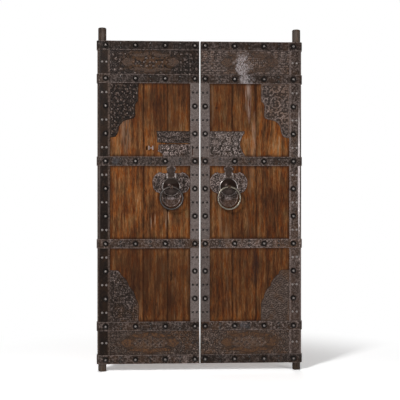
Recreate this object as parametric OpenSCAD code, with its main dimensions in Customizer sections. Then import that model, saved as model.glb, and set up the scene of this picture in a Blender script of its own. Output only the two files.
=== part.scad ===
// Iron-clad pair of temple door leaves, each turning on its own wooden pivots.
// Millimetres. +Z is up, the clad front faces -Y, the origin is on the floor
// line midway between the leaves.

/* [Leaves] */
// Height of a leaf without its pivots
leaf_h = 2095; // [1950:5:2250]
// Width of a leaf, from the rounded pivot edge to the meeting edge
leaf_w = 659; // [620:1:720]
// Gap between the two meeting edges
leaf_gap = 9; // [6:0.5:14]
// Width of the pivot stile
stile_w = 78; // [72:1:90]
// Thickness of the pivot stile
stile_t = 57; // [54:1:62]
// Rounding of the outer edges of the pivot stile
edge_r = 18; // [14:1:22]
// Thickness of the boards
board_t = 48; // [44:1:50]
// Bevel on the front edges of each board
board_bevel = 1.6; // [0.5:0.1:3]
// Width of the board beside the pivot stile
stile_board_w = 219; // [205:1:235]
// Width of the board at the meeting edge
edge_board_w = 206; // [200:1:220]

/* [Pivots] */
// Diameter of the round pivots
pivot_d = 53; // [46:0.5:53]
// Length of the upper pivot
pivot_up = 86; // [60:1:110]
// Length of the lower pivot
pivot_down = 50; // [35:1:70]
// Bevel at the end of a pivot
pivot_bevel = 4; // [1:0.5:6]

/* [Back battens] */
// Height of a back batten
batten_h = 72; // [60:1:90]
// Depth that a batten stands out of the boards
batten_out = 26; // [18:1:30]
// Depth that a batten is let into the boards
batten_in = 8; // [6:0.5:12]
// Distance from a batten's end to the meeting edge
batten_end = 14; // [8:1:40]
// Length of the tenon in the pivot stile
tenon_l = 40; // [25:1:44]
// Thickness of the tenon
tenon_t = 9; // [7:0.5:12]
// Clearance round battens and tenons
batten_fit = 0.3; // [0.1:0.05:0.6]

/* [Straps and sheets] */
// Height of a horizontal strap
strap_w = 58; // [50:1:66]
// Thickness of a horizontal strap
strap_t = 4; // [3:0.25:6]
// Distance from an end strap to the next one
band_pitch = 215; // [195:1:235]
// Width of the meeting strap
meeting_w = 58; // [52:1:64]
// Thickness of the stile sheet and the meeting strap
sheet_t = 2.5; // [1.5:0.25:3.5]
// Thickness of the panel, corner, lock and pull plates
plate_t = 2; // [1.5:0.25:3]
// Reach of the wrapped iron over the back of the stile
wrap_tail = 42; // [24:1:44]
// Clearance under the iron at the outer edge of the stile
wrap_fit = 0.4; // [0.3:0.05:0.8]
// How much tighter each bend is than the edge under it
bend_ease = 1.5; // [1:0.1:2.5]
// Length over which a strap steps down to a lower face
joggle = 7; // [5:0.5:10]
// Gap between neighbouring plates
butt_gap = 0.5; // [0.2:0.1:1.5]

/* [Nails] */
// Diameter of a dome nail head
dome_d = 32; // [26:0.5:34]
// Height of a dome nail head
dome_h = 13; // [9:0.5:16]
// Distance of the first nail column from the pivot axis
first_col = 24; // [20:0.5:27]
// Diameter of a nail shank
shank_d = 8; // [6:0.5:10]
// Wood left between the end of a nail and the batten
shank_stop = 4; // [2:0.5:8]
// Distance of the nail pairs on the stile from the pivot axis
pair_col = 15; // [13:0.5:18]
// Clearance round a nail shank
shank_fit = 0.25; // [0.1:0.05:0.5]
// Diameter of a small nail head
small_d = 15; // [12:0.5:18]
// Height of a small nail head
small_h = 6; // [4:0.25:8]
// Distance between the two nails of a pair
pair_gap = 27; // [24:0.5:30]
// Diameter of a plate stud
stud_d = 12; // [9:0.5:14]
// Height of a plate stud
stud_h = 4.5; // [3:0.25:6]
// Distance between studs along a row
stud_pitch = 40; // [36:1:48]
// Distance between rows of studs
stud_row = 26; // [24:0.5:30]

/* [Panel plates] */
// Length of the pierced oval
oval_w = 364; // [340:1:390]
// Height of the pierced oval
oval_h = 130; // [110:1:132]
// Depth of the lobes round the oval
oval_lobe = 5; // [2:0.5:7]
// Length of the medallion in the oval
medal_w = 236; // [210:1:260]
// Height of the medallion in the oval
medal_h = 84; // [70:1:88]
// Width of the bars that hold the medallion
bridge_w = 20; // [14:0.5:26]
// Width of a raised rib
rib_w = 6; // [4:0.25:8]
// Height of a raised rib
rib_h = 1.6; // [1:0.1:2.5]

/* [Corner plates] */
// Reach of the corner plates from the stile sheet
corner_w = 186; // [165:1:200]
// Height of the upper corner plate
upper_h = 354; // [320:1:370]
// Height of the lower corner plate
lower_h = 335; // [310:1:360]

/* [Lock plates] */
// Width of the lock plates
lock_w = 236; // [215:1:250]
// Height of the lock plates
lock_h = 166; // [150:1:180]
// Depth of the bracket-shaped end of the right lock plate
lock_bite = 38; // [26:1:48]
// How much shorter the worn left lock plate is
lock_worn = 14; // [6:1:24]
// Height of the lower part of the left lock plate
lock_split = 82; // [70:1:90]
// Width of the split across the left lock plate
split_w = 4; // [2:0.5:7]
// Side of the square keyhole flap
flap_w = 42; // [34:1:48]
// Thickness of the keyhole flap
flap_t = 3; // [2:0.25:4]
// Height of the slot in the left meeting strap
slot_h = 62; // [50:1:70]
// Width of the slot in the left meeting strap
slot_w = 6; // [4:0.5:8]
// Height of a leg of the broken hasp staple
staple_h = 27; // [22:1:32]
// Width of a leg of the broken hasp staple
staple_w = 7; // [5:0.5:9]
// Distance between the legs of the staple
staple_gap = 25; // [20:0.5:30]
// How far the staple stands out of the wood
staple_out = 12; // [8:0.5:16]
// Width of the hasp's mortise beside the staple
hasp_w = 9; // [6:0.5:12]
// Depth of the hasp's mortise
hasp_in = 24; // [15:1:30]
// Distance from the staple's near leg to the mortise
hasp_gap = 14; // [12:0.5:20]

/* [Ring pulls] */
// Width of the winged pull plate
pull_w = 247; // [236:1:256]
// Height of the pull plate above the middle of the boss
pull_top = 138; // [130:1:146]
// Height of the pull plate below the middle of the boss
pull_low = 130; // [124:1:136]
// Diameter of the boss rim
boss_d = 122; // [112:1:126]
// Diameter of the bead round the boss
bead_d = 9; // [7:0.5:10]
// Height of the boss dome above its plate
boss_h = 34; // [28:0.5:38]
// Wall thickness of the hollow boss
boss_t = 2.5; // [2:0.25:4]
// Outer diameter of the ring
ring_d = 156; // [150:1:166]
// Diameter of the ring bar
ring_bar = 13; // [11:0.5:14]
// Clearance round the ring bar in its eye
ring_fit = 0.9; // [0.7:0.1:1.5]
// Width of the eye along its bore
eye_w = 18; // [14:0.5:22]
// Wall of the eye round its bore
eye_wall = 5; // [4:0.25:7]
// Diameter of the eye shank through the leaf
eye_shank_d = 12; // [10:0.5:14]
// Diameter of the washer behind the leaf
washer_d = 46; // [38:1:54]
// Thickness of the washer
washer_t = 3; // [2:0.25:5]

/* [Hidden] */
$fn = 96;
stile_r = stile_t / 2;
shank_in = board_t - batten_in - shank_stop;
axis_x = leaf_w - stile_r + leaf_gap / 2;
u_in = stile_w - stile_r;
u_m = leaf_w - stile_r;
z_low = pivot_down;
z_top = z_low + leaf_h;
z_mid = z_low + leaf_h / 2;
row_end = leaf_h / 2 - strap_w / 2;
row_out = row_end - band_pitch;
row_in = row_out / 3;
rows = [for (d = [row_end, row_out, row_in, -row_in, -row_out, -row_end]) z_mid + d];
half = strap_w / 2;
u_strap = u_m - meeting_w;
last_col = u_m - meeting_w / 2;
col_step = (last_col - first_col) / 3;
cols = [for (i = [0:3]) first_col + col_step * i];
seams = [u_in, u_in + stile_board_w, u_m - edge_board_w, u_m];
u_sheet = -stile_r - wrap_fit;
u_wrap = u_sheet - sheet_t - wrap_fit;
strap_edge = edge_r + sheet_t - bend_ease;
y_over = -sheet_t - strap_t;
bay = (rows[1] - rows[4]) / 3;
thirds = [for (k = [0:2]) for (t = [1, 2]) rows[1] - bay * (k + t / 3)];
sixths = [for (k = [0:2]) for (t = [1, 3, 5]) rows[1] - bay * (k + t / 6)];
panel_u0 = u_in + butt_gap;
panel_u1 = u_m;
panel_mid = (u_in + u_strap) / 2;
panel_h = band_pitch - strap_w - 2 * butt_gap;
panel_z = [(rows[0] + rows[1]) / 2, (rows[4] + rows[5]) / 2];
upper_z = rows[1] - half - butt_gap;
lower_z = rows[4] + half + butt_gap;
lock_u = u_strap - butt_gap;
lock_z = rows[2] + half + butt_gap;
pull_u = u_strap - butt_gap - pull_w / 2;
pull_z = rows[2] - half - butt_gap - pull_top;
ring_r = (ring_d - ring_bar) / 2;
ring_sag = ring_r - sqrt(ring_r * ring_r - eye_w * eye_w / 4);
eye_r = ring_bar / 2 + ring_sag + ring_fit;
flange_r = boss_d / 2;
dome_r = flange_r - bead_d + 1;
dome_rise = boss_h - boss_t;
dome_R = (dome_r * dome_r + dome_rise * dome_rise) / (2 * dome_rise);
seat_r = eye_shank_d * 0.95;
seat_h = boss_h - dome_R + sqrt(dome_R * dome_R - seat_r * seat_r);
ring_y = -plate_t - seat_h - eye_r - eye_wall - 0.5;
staple_u = lock_u - lock_w - 8;
staple_z = lock_z + lock_h * 0.34;
hasp_u = staple_u - staple_gap - hasp_gap;
wood_c = [0.47, 0.28, 0.14];
post_c = [0.36, 0.22, 0.13];
iron_c = [0.24, 0.21, 0.20];
sheet_c = [0.36, 0.33, 0.33];
plate_c = [0.30, 0.26, 0.25];
nail_c = [0.14, 0.12, 0.11];
ring_c = [0.42, 0.38, 0.32];
LEFT = -1;
RIGHT = 1;

// Points along an edge from a to b; bow is the tangent of a quarter of the arc,
// positive where the edge swells out of the plate.
function arc_edge(a, b, bow, n) =
  bow == 0 ? [a] :
  let(
    d = b - a,
    turn = 4 * atan(bow),
    r = norm(d) / (2 * sin(turn / 2)),
    c = (a + b) / 2 + [-d[1], d[0]] / norm(d) * r * cos(turn / 2),
    v = a - c
  )
  [for (i = [0:n - 1]) let(t = turn * i / n)
    c + [v[0] * cos(t) - v[1] * sin(t), v[0] * sin(t) + v[1] * cos(t)]];

// A closed outline from corners given as [x, y, bow of the edge that follows].
function outline(p, w, h, n = 7) =
  let(q = [for (e = p) [e[0] * w, e[1] * h]])
  [for (i = [0:len(p) - 1]) each arc_edge(q[i], q[(i + 1) % len(p)], p[i][2], n)];

// The oval with eight shallow lobes, as a polar formula.
function lobed(w, h, lobe, n = 64) =
  [for (i = [0:n - 1]) let(t = 360 * i / n, e = lobe * cos(8 * t))
    [(w / 2 + e) * cos(t), (h / 2 + e) * sin(t)]];

// True where a point lies in an oval of the given half sizes.
function in_oval(p, a, b) = p[0] * p[0] / (a * a) + p[1] * p[1] / (b * b) < 1;

// Even-odd test of a point against an outline.
function crossings(p, q) =
  [for (i = [0:len(q) - 1]) let(a = q[i], b = q[(i + 1) % len(q)])
    if ((a[1] > p[1]) != (b[1] > p[1]) && p[0] < a[0] + (p[1] - a[1]) * (b[0] - a[0]) / (b[1] - a[1])) 1];
function in_outline(p, q) = len(crossings(p, q)) % 2 == 1;

// A band along an opening spiral.
function spiral_side(r, turns, w, side, n) =
  [for (i = [0:n])
    let(t = i / n, a = 360 * turns * t, s = r * (0.24 + 0.76 * t) + side * w / 2 * (1 - 0.5 * t))
    s * [cos(a), sin(a)]];
function spiral(r, turns, w, n = 22) =
  let(o = spiral_side(r, turns, w, 1, n), q = spiral_side(r, turns, w, -1, n))
  concat(o, [for (i = [0:n]) q[n - i]]);

upper_shape = [
  [0, 0, 0], [0, -1, 0], [0.19, -0.985, 0.15], [0.31, -0.84, -0.35], [0.63, -0.672, 0],
  [0.80, -0.65, 0.4], [0.885, -0.56, 0], [0.875, -0.455, -0.3], [0.985, -0.33, 0], [1, 0, 0]
];
lower_shape = [
  [0, 0, 0], [1, 0, 0], [1, 0.27, 0.2], [0.9, 0.45, 0.22], [0.67, 0.68, 0.22],
  [0.38, 0.91, 0.3], [0.27, 0.995, 0], [0, 1, 0]
];
wing_half = [
  [0, -0.94, 0.41], [0.50, -0.52, 0], [0.53, -0.35, -0.12], [0.78, -0.25, 0.08], [0.94, -0.08, 0.1],
  [1, 0.22, 0.18], [0.84, 0.58, 0.15], [0.58, 0.70, -0.2], [0.20, 0.66, -0.3], [0.25, 0.80, 0.35],
  [0.16, 0.98, 0.1], [0, 1, 0]
];
upper_edge = outline(upper_shape, corner_w, upper_h);
lower_edge = outline(lower_shape, corner_w, lower_h);

// Puts a shape that is drawn from the pivot axis towards the meeting edge on its leaf.
module leaf(side) {
  if (side == LEFT) {
    translate([-axis_x, 0, 0]) children();
  } else {
    mirror([1, 0, 0]) translate([-axis_x, 0, 0]) children();
  }
}

// Raises a flat shape drawn in width and height by t out of the plane y, towards the front.
module raised(y, t) {
  translate([0, y, 0]) rotate([90, 0, 0]) linear_extrude(height = t) children();
}

// Turns a shape drawn along its axis so that it points out of the front at a place.
module facing(u, y, z) {
  translate([u, y, z]) rotate([90, 0, 0]) children();
}

// Spherical cap of a given diameter and height, sitting on its flat base.
module cap(d, h) {
  r = (d * d / 4 + h * h) / (2 * h);
  intersection() {
    translate([0, 0, h - r]) sphere(r = r);
    cylinder(d = d + 2, h = h + 1);
  }
}

// Domed head on a straight shank that runs back into the wood.
module dome_nail(u, y, z) {
  facing(u, y, z) {
    cap(dome_d, dome_h);
    translate([0, 0, -shank_in + y]) cylinder(d = shank_d, h = shank_in - y);
  }
}

// Hole for one nail shank, from in front of the iron to just past its end.
module nail_hole(u, z) {
  facing(u, shank_in + 1, z) cylinder(d = shank_d + 2 * shank_fit, h = shank_in + 40);
}

// Plan of a bar from u0 to u1 with both corners rounded at u0.
module rounded(u0, u1, y0, y1, r) {
  translate([u0 + r, y0]) square([u1 - u0 - r, y1 - y0]);
  translate([u0, y0 + r]) square([u1 - u0, y1 - y0 - 2 * r]);
  translate([u0 + r, y0 + r]) circle(r = r);
  translate([u0 + r, y1 - r]) circle(r = r);
}

// Section of a pivot stile, rounded at its outer edges.
module stile_section() {
  rounded(-stile_r, u_in, 0, stile_t, edge_r + bend_ease);
}

// Round pivot standing on the end of a stile.
module pivot(len) {
  cylinder(d = pivot_d, h = len - pivot_bevel);
  translate([0, 0, len - pivot_bevel])
    cylinder(d1 = pivot_d, d2 = pivot_d - 2 * pivot_bevel, h = pivot_bevel);
}

// Pivot stile with its two pivots, tenon mortises and nail holes.
module stile() {
  difference() {
    union() {
      translate([0, 0, z_low]) linear_extrude(height = leaf_h) stile_section();
      translate([0, stile_r, z_top]) pivot(pivot_up);
      translate([0, stile_r, z_low]) mirror([0, 0, 1]) pivot(pivot_down);
    }
    for (k = [1:4]) {
      translate([u_in - tenon_l - 1, board_t - batten_in - batten_fit, rows[k] - batten_h / 4 - batten_fit])
        cube([tenon_l + 2, tenon_t + 2 * batten_fit, batten_h / 2 + 2 * batten_fit]);
    }
    for (z = concat(rows, thirds)) nail_hole(first_col, z);
  }
}

// Plan of one board, with a bevel along both front edges.
module board_plan(i) {
  a = seams[i - 1];
  b = seams[i];
  c = board_bevel;
  polygon([[a + c, 0], [b - c, 0], [b, c], [b, board_t], [a, board_t], [a, c]]);
}

// Section of a batten: a wide bar with a dovetail on its inner face.
module batten_section(fit) {
  n = batten_h * 0.36;
  w = batten_h * 0.42;
  b = batten_h / 2;
  y0 = board_t - batten_in;
  polygon([
    [y0 - fit, -w - fit], [board_t, -n - fit], [board_t, -b], [board_t + batten_out - 5, -b],
    [board_t + batten_out, -b + 5], [board_t + batten_out, b - 5], [board_t + batten_out - 5, b],
    [board_t, b], [board_t, n + fit], [y0 - fit, w + fit]
  ]);
}

// Runs a section drawn in depth and height along the width of the leaf.
module along(u0, u1, z) {
  translate([u0, 0, z]) rotate([90, 0, 90]) linear_extrude(height = u1 - u0) children();
}

// True where a cut of half width r at u reaches a board.
function on_board(u, i, r) = u > seams[i - 1] - r && u < seams[i] + r;

// One board with its batten grooves, nail holes and the hole for the ring's eye;
// on the slotted leaf the mortise of the hasp is cut where it falls.
module board(i, slotted = false) {
  difference() {
    translate([0, 0, z_low]) linear_extrude(height = leaf_h) board_plan(i);
    for (k = [1:4]) along(u_in - 1, u_m - batten_end + 1, rows[k]) batten_section(batten_fit);
    for (u = cols) {
      if (on_board(u, i, shank_d)) {
        for (z = rows) nail_hole(u, z);
      }
    }
    if (on_board(last_col, i, shank_d)) {
      for (z = thirds) nail_hole(last_col, z);
    }
    if (on_board(pull_u, i, eye_shank_d)) {
      facing(pull_u, board_t + 1, pull_z) cylinder(d = eye_shank_d + 2 * shank_fit, h = board_t + 2);
    }
    if (slotted && on_board(hasp_u, i, hasp_w)) {
      translate([hasp_u - hasp_w / 2, -1, staple_z - staple_h / 2]) cube([hasp_w, hasp_in + 1, staple_h]);
    }
  }
}

// Four back battens, each with a tenon in the pivot stile.
module battens() {
  for (k = [1:4]) {
    along(u_in, u_m - batten_end, rows[k]) batten_section(0);
    translate([u_in - tenon_l, board_t - batten_in, rows[k] - batten_h / 4])
      cube([tenon_l, tenon_t, batten_h / 2]);
  }
}

// Plan of the iron sheet round the pivot stile.
module stile_sheet_plan() {
  difference() {
    rounded(u_sheet - sheet_t, u_in, -sheet_t, stile_t + sheet_t, edge_r + sheet_t);
    rounded(u_sheet, u_in + 1, 0, stile_t, edge_r);
    translate([wrap_tail, stile_t - 1]) square([stile_w, sheet_t + 2]);
  }
}

// Plan of a horizontal strap: round the stile, down to the boards and, on the
// middle rows, up again over the meeting strap.
module strap_plan(over_meeting) {
  t = strap_t;
  s = sheet_t;
  a = u_in + 1;
  b = u_strap - 1;
  difference() {
    rounded(u_wrap - t, wrap_tail, -s - t, stile_t + s + t, strap_edge + t);
    rounded(u_wrap, wrap_tail + 1, -s, stile_t + s, strap_edge);
  }
  tail = over_meeting
    ? [[b - joggle, -t], [b, -s - t], [u_m, -s - t], [u_m, -s], [b, -s], [b - joggle, 0]]
    : [[u_m, -t], [u_m, 0]];
  polygon(concat([[0, -s], [0, -s - t], [a, -s - t], [a + joggle, -t]], tail, [[a + joggle, 0], [a, -s]]));
}

// One horizontal strap, counted from the top.
module strap(k) {
  difference() {
    translate([0, 0, rows[k - 1] - half]) linear_extrude(height = strap_w) strap_plan(k > 1 && k < 6);
    for (u = cols) nail_hole(u, rows[k - 1]);
  }
}

// Sheet on the pivot stile.
module stile_sheet() {
  difference() {
    translate([0, 0, z_low]) linear_extrude(height = leaf_h) stile_sheet_plan();
    for (z = concat(rows, thirds)) nail_hole(first_col, z);
  }
}

// Strap down the meeting edge, between the second and the fifth row.
module meeting_strap(slotted) {
  difference() {
    translate([u_strap, -sheet_t, rows[4] - half]) cube([meeting_w, sheet_t, rows[1] - rows[4] + strap_w]);
    for (k = [1:4]) nail_hole(last_col, rows[k]);
    for (z = thirds) nail_hole(last_col, z);
    if (slotted) {
      translate([u_strap + meeting_w * 0.18, -sheet_t - 1, lock_z + lock_h * 0.05])
        cube([slot_w, sheet_t + 2, slot_h]);
    }
  }
}

// Medallion outline in a panel's oval.
module medallion() {
  polygon(lobed(medal_w, medal_h, oval_lobe));
}

// Bars from the medallion to the rim of its oval.
module bridges() {
  for (a = [90, 36, 144, 216, 324]) {
    b = [oval_w / 2 * cos(a), oval_h / 2 * sin(a)];
    rotate(atan2(b[1], b[0])) translate([0, -bridge_w / 2]) square([norm(b) + oval_lobe + 3, bridge_w]);
  }
}

// Panel plate with its pierced oval.
module panel_flat() {
  difference() {
    translate([panel_u0 - panel_mid, -panel_h / 2]) square([panel_u1 - panel_u0, panel_h]);
    difference() {
      polygon(lobed(oval_w, oval_h, oval_lobe));
      medallion();
      bridges();
    }
  }
}

// Raised ribs of a medallion: a rim and, on the lower panels, a lattice.
module medallion_ribs(lattice) {
  difference() {
    medallion();
    polygon(lobed(medal_w - 2 * rib_w, medal_h - 2 * rib_w, oval_lobe));
  }
  if (lattice) {
    intersection() {
      medallion();
      union() {
        for (i = [-4:4]) {
          for (a = [40, -40]) {
            translate([i * medal_w / 7, 0]) rotate(a) square([medal_w, rib_w * 0.8], center = true);
          }
        }
      }
    }
  }
}

// One panel plate, top or bottom.
module panel(k) {
  translate([panel_mid, 0, panel_z[k]]) {
    raised(0, plate_t) panel_flat();
    raised(-plate_t, rib_h) medallion_ribs(k == 1);
  }
}

// A scroll rib on a plate.
module scroll(u, z, r, a, turns) {
  translate([u, 0, z]) raised(-plate_t, rib_h) rotate(a) polygon(spiral(r, turns, rib_w));
}

// Upper corner plate; the scrolled one carries three scrolls.
module upper_corner(scrolled) {
  translate([panel_u0, 0, upper_z]) {
    raised(0, plate_t) polygon(upper_edge);
    if (scrolled) {
      scroll(corner_w * 0.30, -upper_h * 0.20, corner_w * 0.19, 20, 1.5);
      scroll(corner_w * 0.70, -upper_h * 0.22, corner_w * 0.17, 200, 1.5);
      scroll(corner_w * 0.60, -upper_h * 0.53, corner_w * 0.17, 100, 1.5);
      scroll(corner_w * 0.25, -upper_h * 0.66, corner_w * 0.15, 300, 1.5);
    }
  }
}

// Lower corner plate with a row of scrolls up its length.
module lower_corner() {
  translate([panel_u0, 0, lower_z]) {
    raised(0, plate_t) polygon(lower_edge);
    scroll(corner_w * 0.24, lower_h * 0.16, corner_w * 0.17, 30, 1.5);
    scroll(corner_w * 0.70, lower_h * 0.18, corner_w * 0.18, 190, 1.5);
    scroll(corner_w * 0.45, lower_h * 0.46, corner_w * 0.18, 110, 1.5);
    scroll(corner_w * 0.20, lower_h * 0.76, corner_w * 0.13, 250, 1.5);
  }
}

// Right lock plate, with a bracket-shaped outer end and two rows of scrolls.
module lock_plate() {
  w = lock_w;
  h = lock_h;
  b = lock_bite / w;
  translate([lock_u, 0, lock_z]) {
    raised(0, plate_t)
      polygon(outline([[0, 0, 0], [0, 1, 0], [-0.98, 1, -0.1], [-1 + b, 0.5, -0.1], [-1, 0, 0]], w, h));
    scroll(-w * 0.52, h * 0.74, h * 0.15, 40, 1.4);
    scroll(-w * 0.76, h * 0.74, h * 0.13, 180, 1.4);
    scroll(-w * 0.30, h * 0.24, h * 0.14, 200, 1.4);
    scroll(-w * 0.60, h * 0.24, h * 0.15, 20, 1.4);
  }
}

// Square flap over the keyhole.
module lock_flap() {
  raised(-plate_t, flap_t)
    translate([lock_u - flap_w * 1.45, lock_z + lock_h * 0.40]) square([flap_w, flap_w]);
}

// Upper part of the worn left lock plate.
module lock_upper() {
  w = lock_w - lock_worn;
  h = lock_h - lock_split - split_w;
  translate([lock_u, 0, lock_z + lock_split + split_w]) {
    raised(0, plate_t)
      polygon(outline([[0, 0, 0], [0, 1, 0], [-1, 1, -0.12], [-0.98, 0.08, 0], [-0.6, 0, 0]], w, h));
    scroll(-w * 0.45, h * 0.48, h * 0.28, 60, 1.4);
    scroll(-w * 0.72, h * 0.50, h * 0.26, 230, 1.4);
  }
}

// Lower part of the worn left lock plate, with a notch broken out of its end.
module lock_lower() {
  w = lock_w - 1.6 * lock_worn;
  h = lock_split;
  edge = [
    [0, 0, 0], [0, 1, 0], [-0.6, 1, 0], [-0.97, 0.95, -0.1], [-1, 0.42, 0], [-0.9, 0.3, -0.3], [-0.84, 0, 0]
  ];
  translate([lock_u, 0, lock_z]) {
    raised(0, plate_t) polygon(outline(edge, w, h));
    scroll(-w * 0.42, h * 0.45, h * 0.22, 150, 1.4);
    scroll(-w * 0.68, h * 0.46, h * 0.22, 330, 1.4);
  }
}

// Two legs and the stump of a bow of the broken hasp staple.
module staple() {
  translate([staple_u - staple_gap, 0, staple_z]) {
    translate([-staple_w / 2, -staple_out, -staple_h / 2]) cube([staple_w, staple_out, staple_h]);
    translate([staple_gap - staple_w / 2, -staple_out, -staple_h / 2]) cube([staple_w, staple_out, staple_h]);
    translate([0, -staple_out * 0.4, -staple_w / 2]) cube([staple_gap, staple_out * 0.4, staple_w]);
  }
}

// Winged back plate of a ring pull, with a round lobe behind the hanging ring.
module pull_plate() {
  low = -pull_low / pull_top / wing_half[0][1];
  right = [for (e = wing_half) [e[0], e[1] < 0 ? e[1] * low : e[1], e[2]]];
  last = len(right) - 1;
  back = [for (i = [last:-1:1]) [-right[i][0], right[i][1], right[i - 1][2]]];
  edge = concat([for (i = [0:last - 1]) right[i]], back);
  difference() {
    translate([pull_u, 0, pull_z]) {
      raised(0, plate_t) polygon(outline(edge, pull_w / 2, pull_top));
      for (m = [1, -1]) {
        scroll(m * pull_w * 0.38, pull_top * 0.32, pull_w * 0.075, m > 0 ? 20 : 160, 1.4);
        scroll(m * pull_w * 0.27, pull_top * 0.56, pull_w * 0.055, m > 0 ? 200 : 340, 1.4);
      }
    }
    facing(pull_u, 1, pull_z) cylinder(d = eye_shank_d + 2 * shank_fit, h = plate_t + 2);
  }
}

// Hollow domed boss with a beaded rim.
module boss() {
  facing(pull_u, -plate_t, pull_z) rotate_extrude() {
    difference() {
      intersection() {
        translate([0, boss_h - dome_R]) circle(r = dome_R);
        translate([0, boss_t]) square([dome_R, boss_h]);
      }
      translate([0, boss_h - dome_R]) circle(r = dome_R - boss_t);
      translate([0, seat_h]) square([dome_R, boss_h]);
      square([eye_shank_d / 2 + shank_fit, boss_h + 1]);
    }
    translate([dome_r - 2 * boss_t, 0]) square([flange_r - dome_r + 2 * boss_t, boss_t]);
    intersection() {
      translate([flange_r - bead_d / 2, boss_t]) circle(d = bead_d);
      translate([0, boss_t / 2]) square([flange_r, bead_d]);
    }
  }
}

// Eye that holds the ring, with its shank through the leaf and a clenched end.
module eye() {
  difference() {
    union() {
      translate([pull_u - eye_w / 2, ring_y, pull_z])
        rotate([0, 90, 0]) cylinder(r = eye_r + eye_wall, h = eye_w);
      facing(pull_u, board_t + washer_t + 1, pull_z)
        cylinder(d = eye_shank_d, h = board_t + washer_t - ring_y - eye_r);
      facing(pull_u, board_t + washer_t + 4, pull_z) cylinder(d = eye_shank_d * 1.6, h = 4);
      facing(pull_u, -plate_t - seat_h, pull_z) cylinder(r = seat_r, h = eye_wall);
    }
    translate([pull_u - eye_w, ring_y, pull_z]) rotate([0, 90, 0]) cylinder(r = eye_r, h = 2 * eye_w);
  }
}

// Washer under the clenched end of the eye.
module washer() {
  facing(pull_u, board_t + washer_t, pull_z) difference() {
    cylinder(d = washer_d, h = washer_t);
    translate([0, 0, -1]) cylinder(d = eye_shank_d + 2 * shank_fit, h = washer_t + 2);
  }
}

// Hanging ring.
module ring() {
  translate([pull_u, ring_y, pull_z - ring_r]) rotate([90, 0, 0])
    rotate_extrude() translate([ring_r, 0]) circle(d = ring_bar);
}

// All dome nails of one leaf.
module dome_nails() {
  for (k = [0:5]) {
    dome_nail(cols[0], y_over, rows[k]);
    dome_nail(cols[1], -strap_t, rows[k]);
    dome_nail(cols[2], -strap_t, rows[k]);
    dome_nail(cols[3], k > 0 && k < 5 ? y_over : -strap_t, rows[k]);
  }
  for (z = thirds) {
    dome_nail(cols[0], -sheet_t, z);
    dome_nail(cols[3], -sheet_t, z);
  }
}

// Two small nails, side by side or one above the other.
module pair(u, y, z, upright) {
  for (s = [-1, 1]) {
    d = s * pair_gap / 2;
    facing(u + (upright ? 0 : d), y, z + (upright ? d : 0)) cap(small_d, small_h);
  }
}

// All small nails of one leaf.
module small_nails() {
  for (k = [0:5]) {
    for (i = [0:2]) pair((cols[i] + cols[i + 1]) / 2, -strap_t, rows[k], true);
    facing(wrap_tail - small_d, stile_t + sheet_t + strap_t, rows[k]) mirror([0, 0, 1]) cap(small_d, small_h);
  }
  for (z = sixths) {
    pair(pair_col, -sheet_t, z, false);
    pair(last_col, -sheet_t, z, false);
  }
  for (z = panel_z) {
    pair(pair_col, -sheet_t, z, false);
    pair(last_col, -plate_t, z, false);
  }
}

// One stud on a plate.
module stud(u, z) {
  facing(u, -plate_t, z) cap(stud_d, stud_h);
}

// Studs of a panel plate, in staggered rows outside the oval and in the upper medallion.
module panel_studs(k) {
  e = stud_d;
  far = last_col - pair_gap - panel_mid;
  for (r = [-2:2]) {
    for (i = [-9:9]) {
      p = [(i + (abs(r) % 2) / 2) * stud_pitch, r * stud_row];
      inner = k == 0 && in_oval(p, medal_w / 2 - rib_w - e, medal_h / 2 - rib_w - e / 2);
      outer = !in_oval(p, oval_w / 2 + oval_lobe + e, oval_h / 2 + oval_lobe + e);
      wide = p[0] > panel_u0 - panel_mid + e && p[0] < far && abs(p[1]) < panel_h / 2 - e / 2 - 1;
      if (wide && (inner || outer)) stud(panel_mid + p[0], panel_z[k] + p[1]);
    }
  }
}

// Studs over a corner plate, kept clear of its edge.
module corner_studs(edge, w, h, u, z) {
  e = stud_d * 0.8;
  for (r = [0:floor(abs(h) / stud_row)]) {
    for (i = [0:floor(w / stud_pitch)]) {
      p = [e + 4 + (i + (r % 2) / 2) * stud_pitch, sign(h) * (e + 4 + r * stud_row)];
      clear = [for (a = [0:45:315]) if (!in_outline(p + e * [cos(a), sin(a)], edge)) 1];
      if (len(clear) == 0) stud(u + p[0], z + p[1]);
    }
  }
}

// Rivets along the edges of a lock plate.
module lock_studs(places) {
  for (p = places) stud(lock_u - lock_w * p[0], lock_z + lock_h * p[1]);
}

// All studs of one leaf.
module studs(scrolled) {
  panel_studs(0);
  panel_studs(1);
  if (scrolled) {
    lock_studs([[0.06, 0.08], [0.45, 0.08], [0.8, 0.08], [0.06, 0.92], [0.3, 0.92], [0.94, 0.92]]);
  } else {
    lock_studs([[0.06, 0.08], [0.5, 0.08], [0.06, 0.92], [0.3, 0.92], [0.88, 0.92]]);
    corner_studs(upper_edge, corner_w, -upper_h, panel_u0, upper_z);
  }
}

module left_stile() { color(post_c) leaf(LEFT) stile(); }
module left_board_1() { color(wood_c) leaf(LEFT) board(1, true); }
module left_board_2() { color(wood_c) leaf(LEFT) board(2, true); }
module left_board_3() { color(wood_c) leaf(LEFT) board(3, true); }
module left_battens() { color(post_c) leaf(LEFT) battens(); }
module left_strap_1() { color(iron_c) leaf(LEFT) strap(1); }
module left_strap_2() { color(iron_c) leaf(LEFT) strap(2); }
module left_strap_3() { color(iron_c) leaf(LEFT) strap(3); }
module left_strap_4() { color(iron_c) leaf(LEFT) strap(4); }
module left_strap_5() { color(iron_c) leaf(LEFT) strap(5); }
module left_strap_6() { color(iron_c) leaf(LEFT) strap(6); }
module left_stile_sheet() { color(sheet_c) leaf(LEFT) stile_sheet(); }
module left_meeting_strap() { color(sheet_c) leaf(LEFT) meeting_strap(true); }
module left_top_panel() { color(plate_c) leaf(LEFT) panel(0); }
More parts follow.
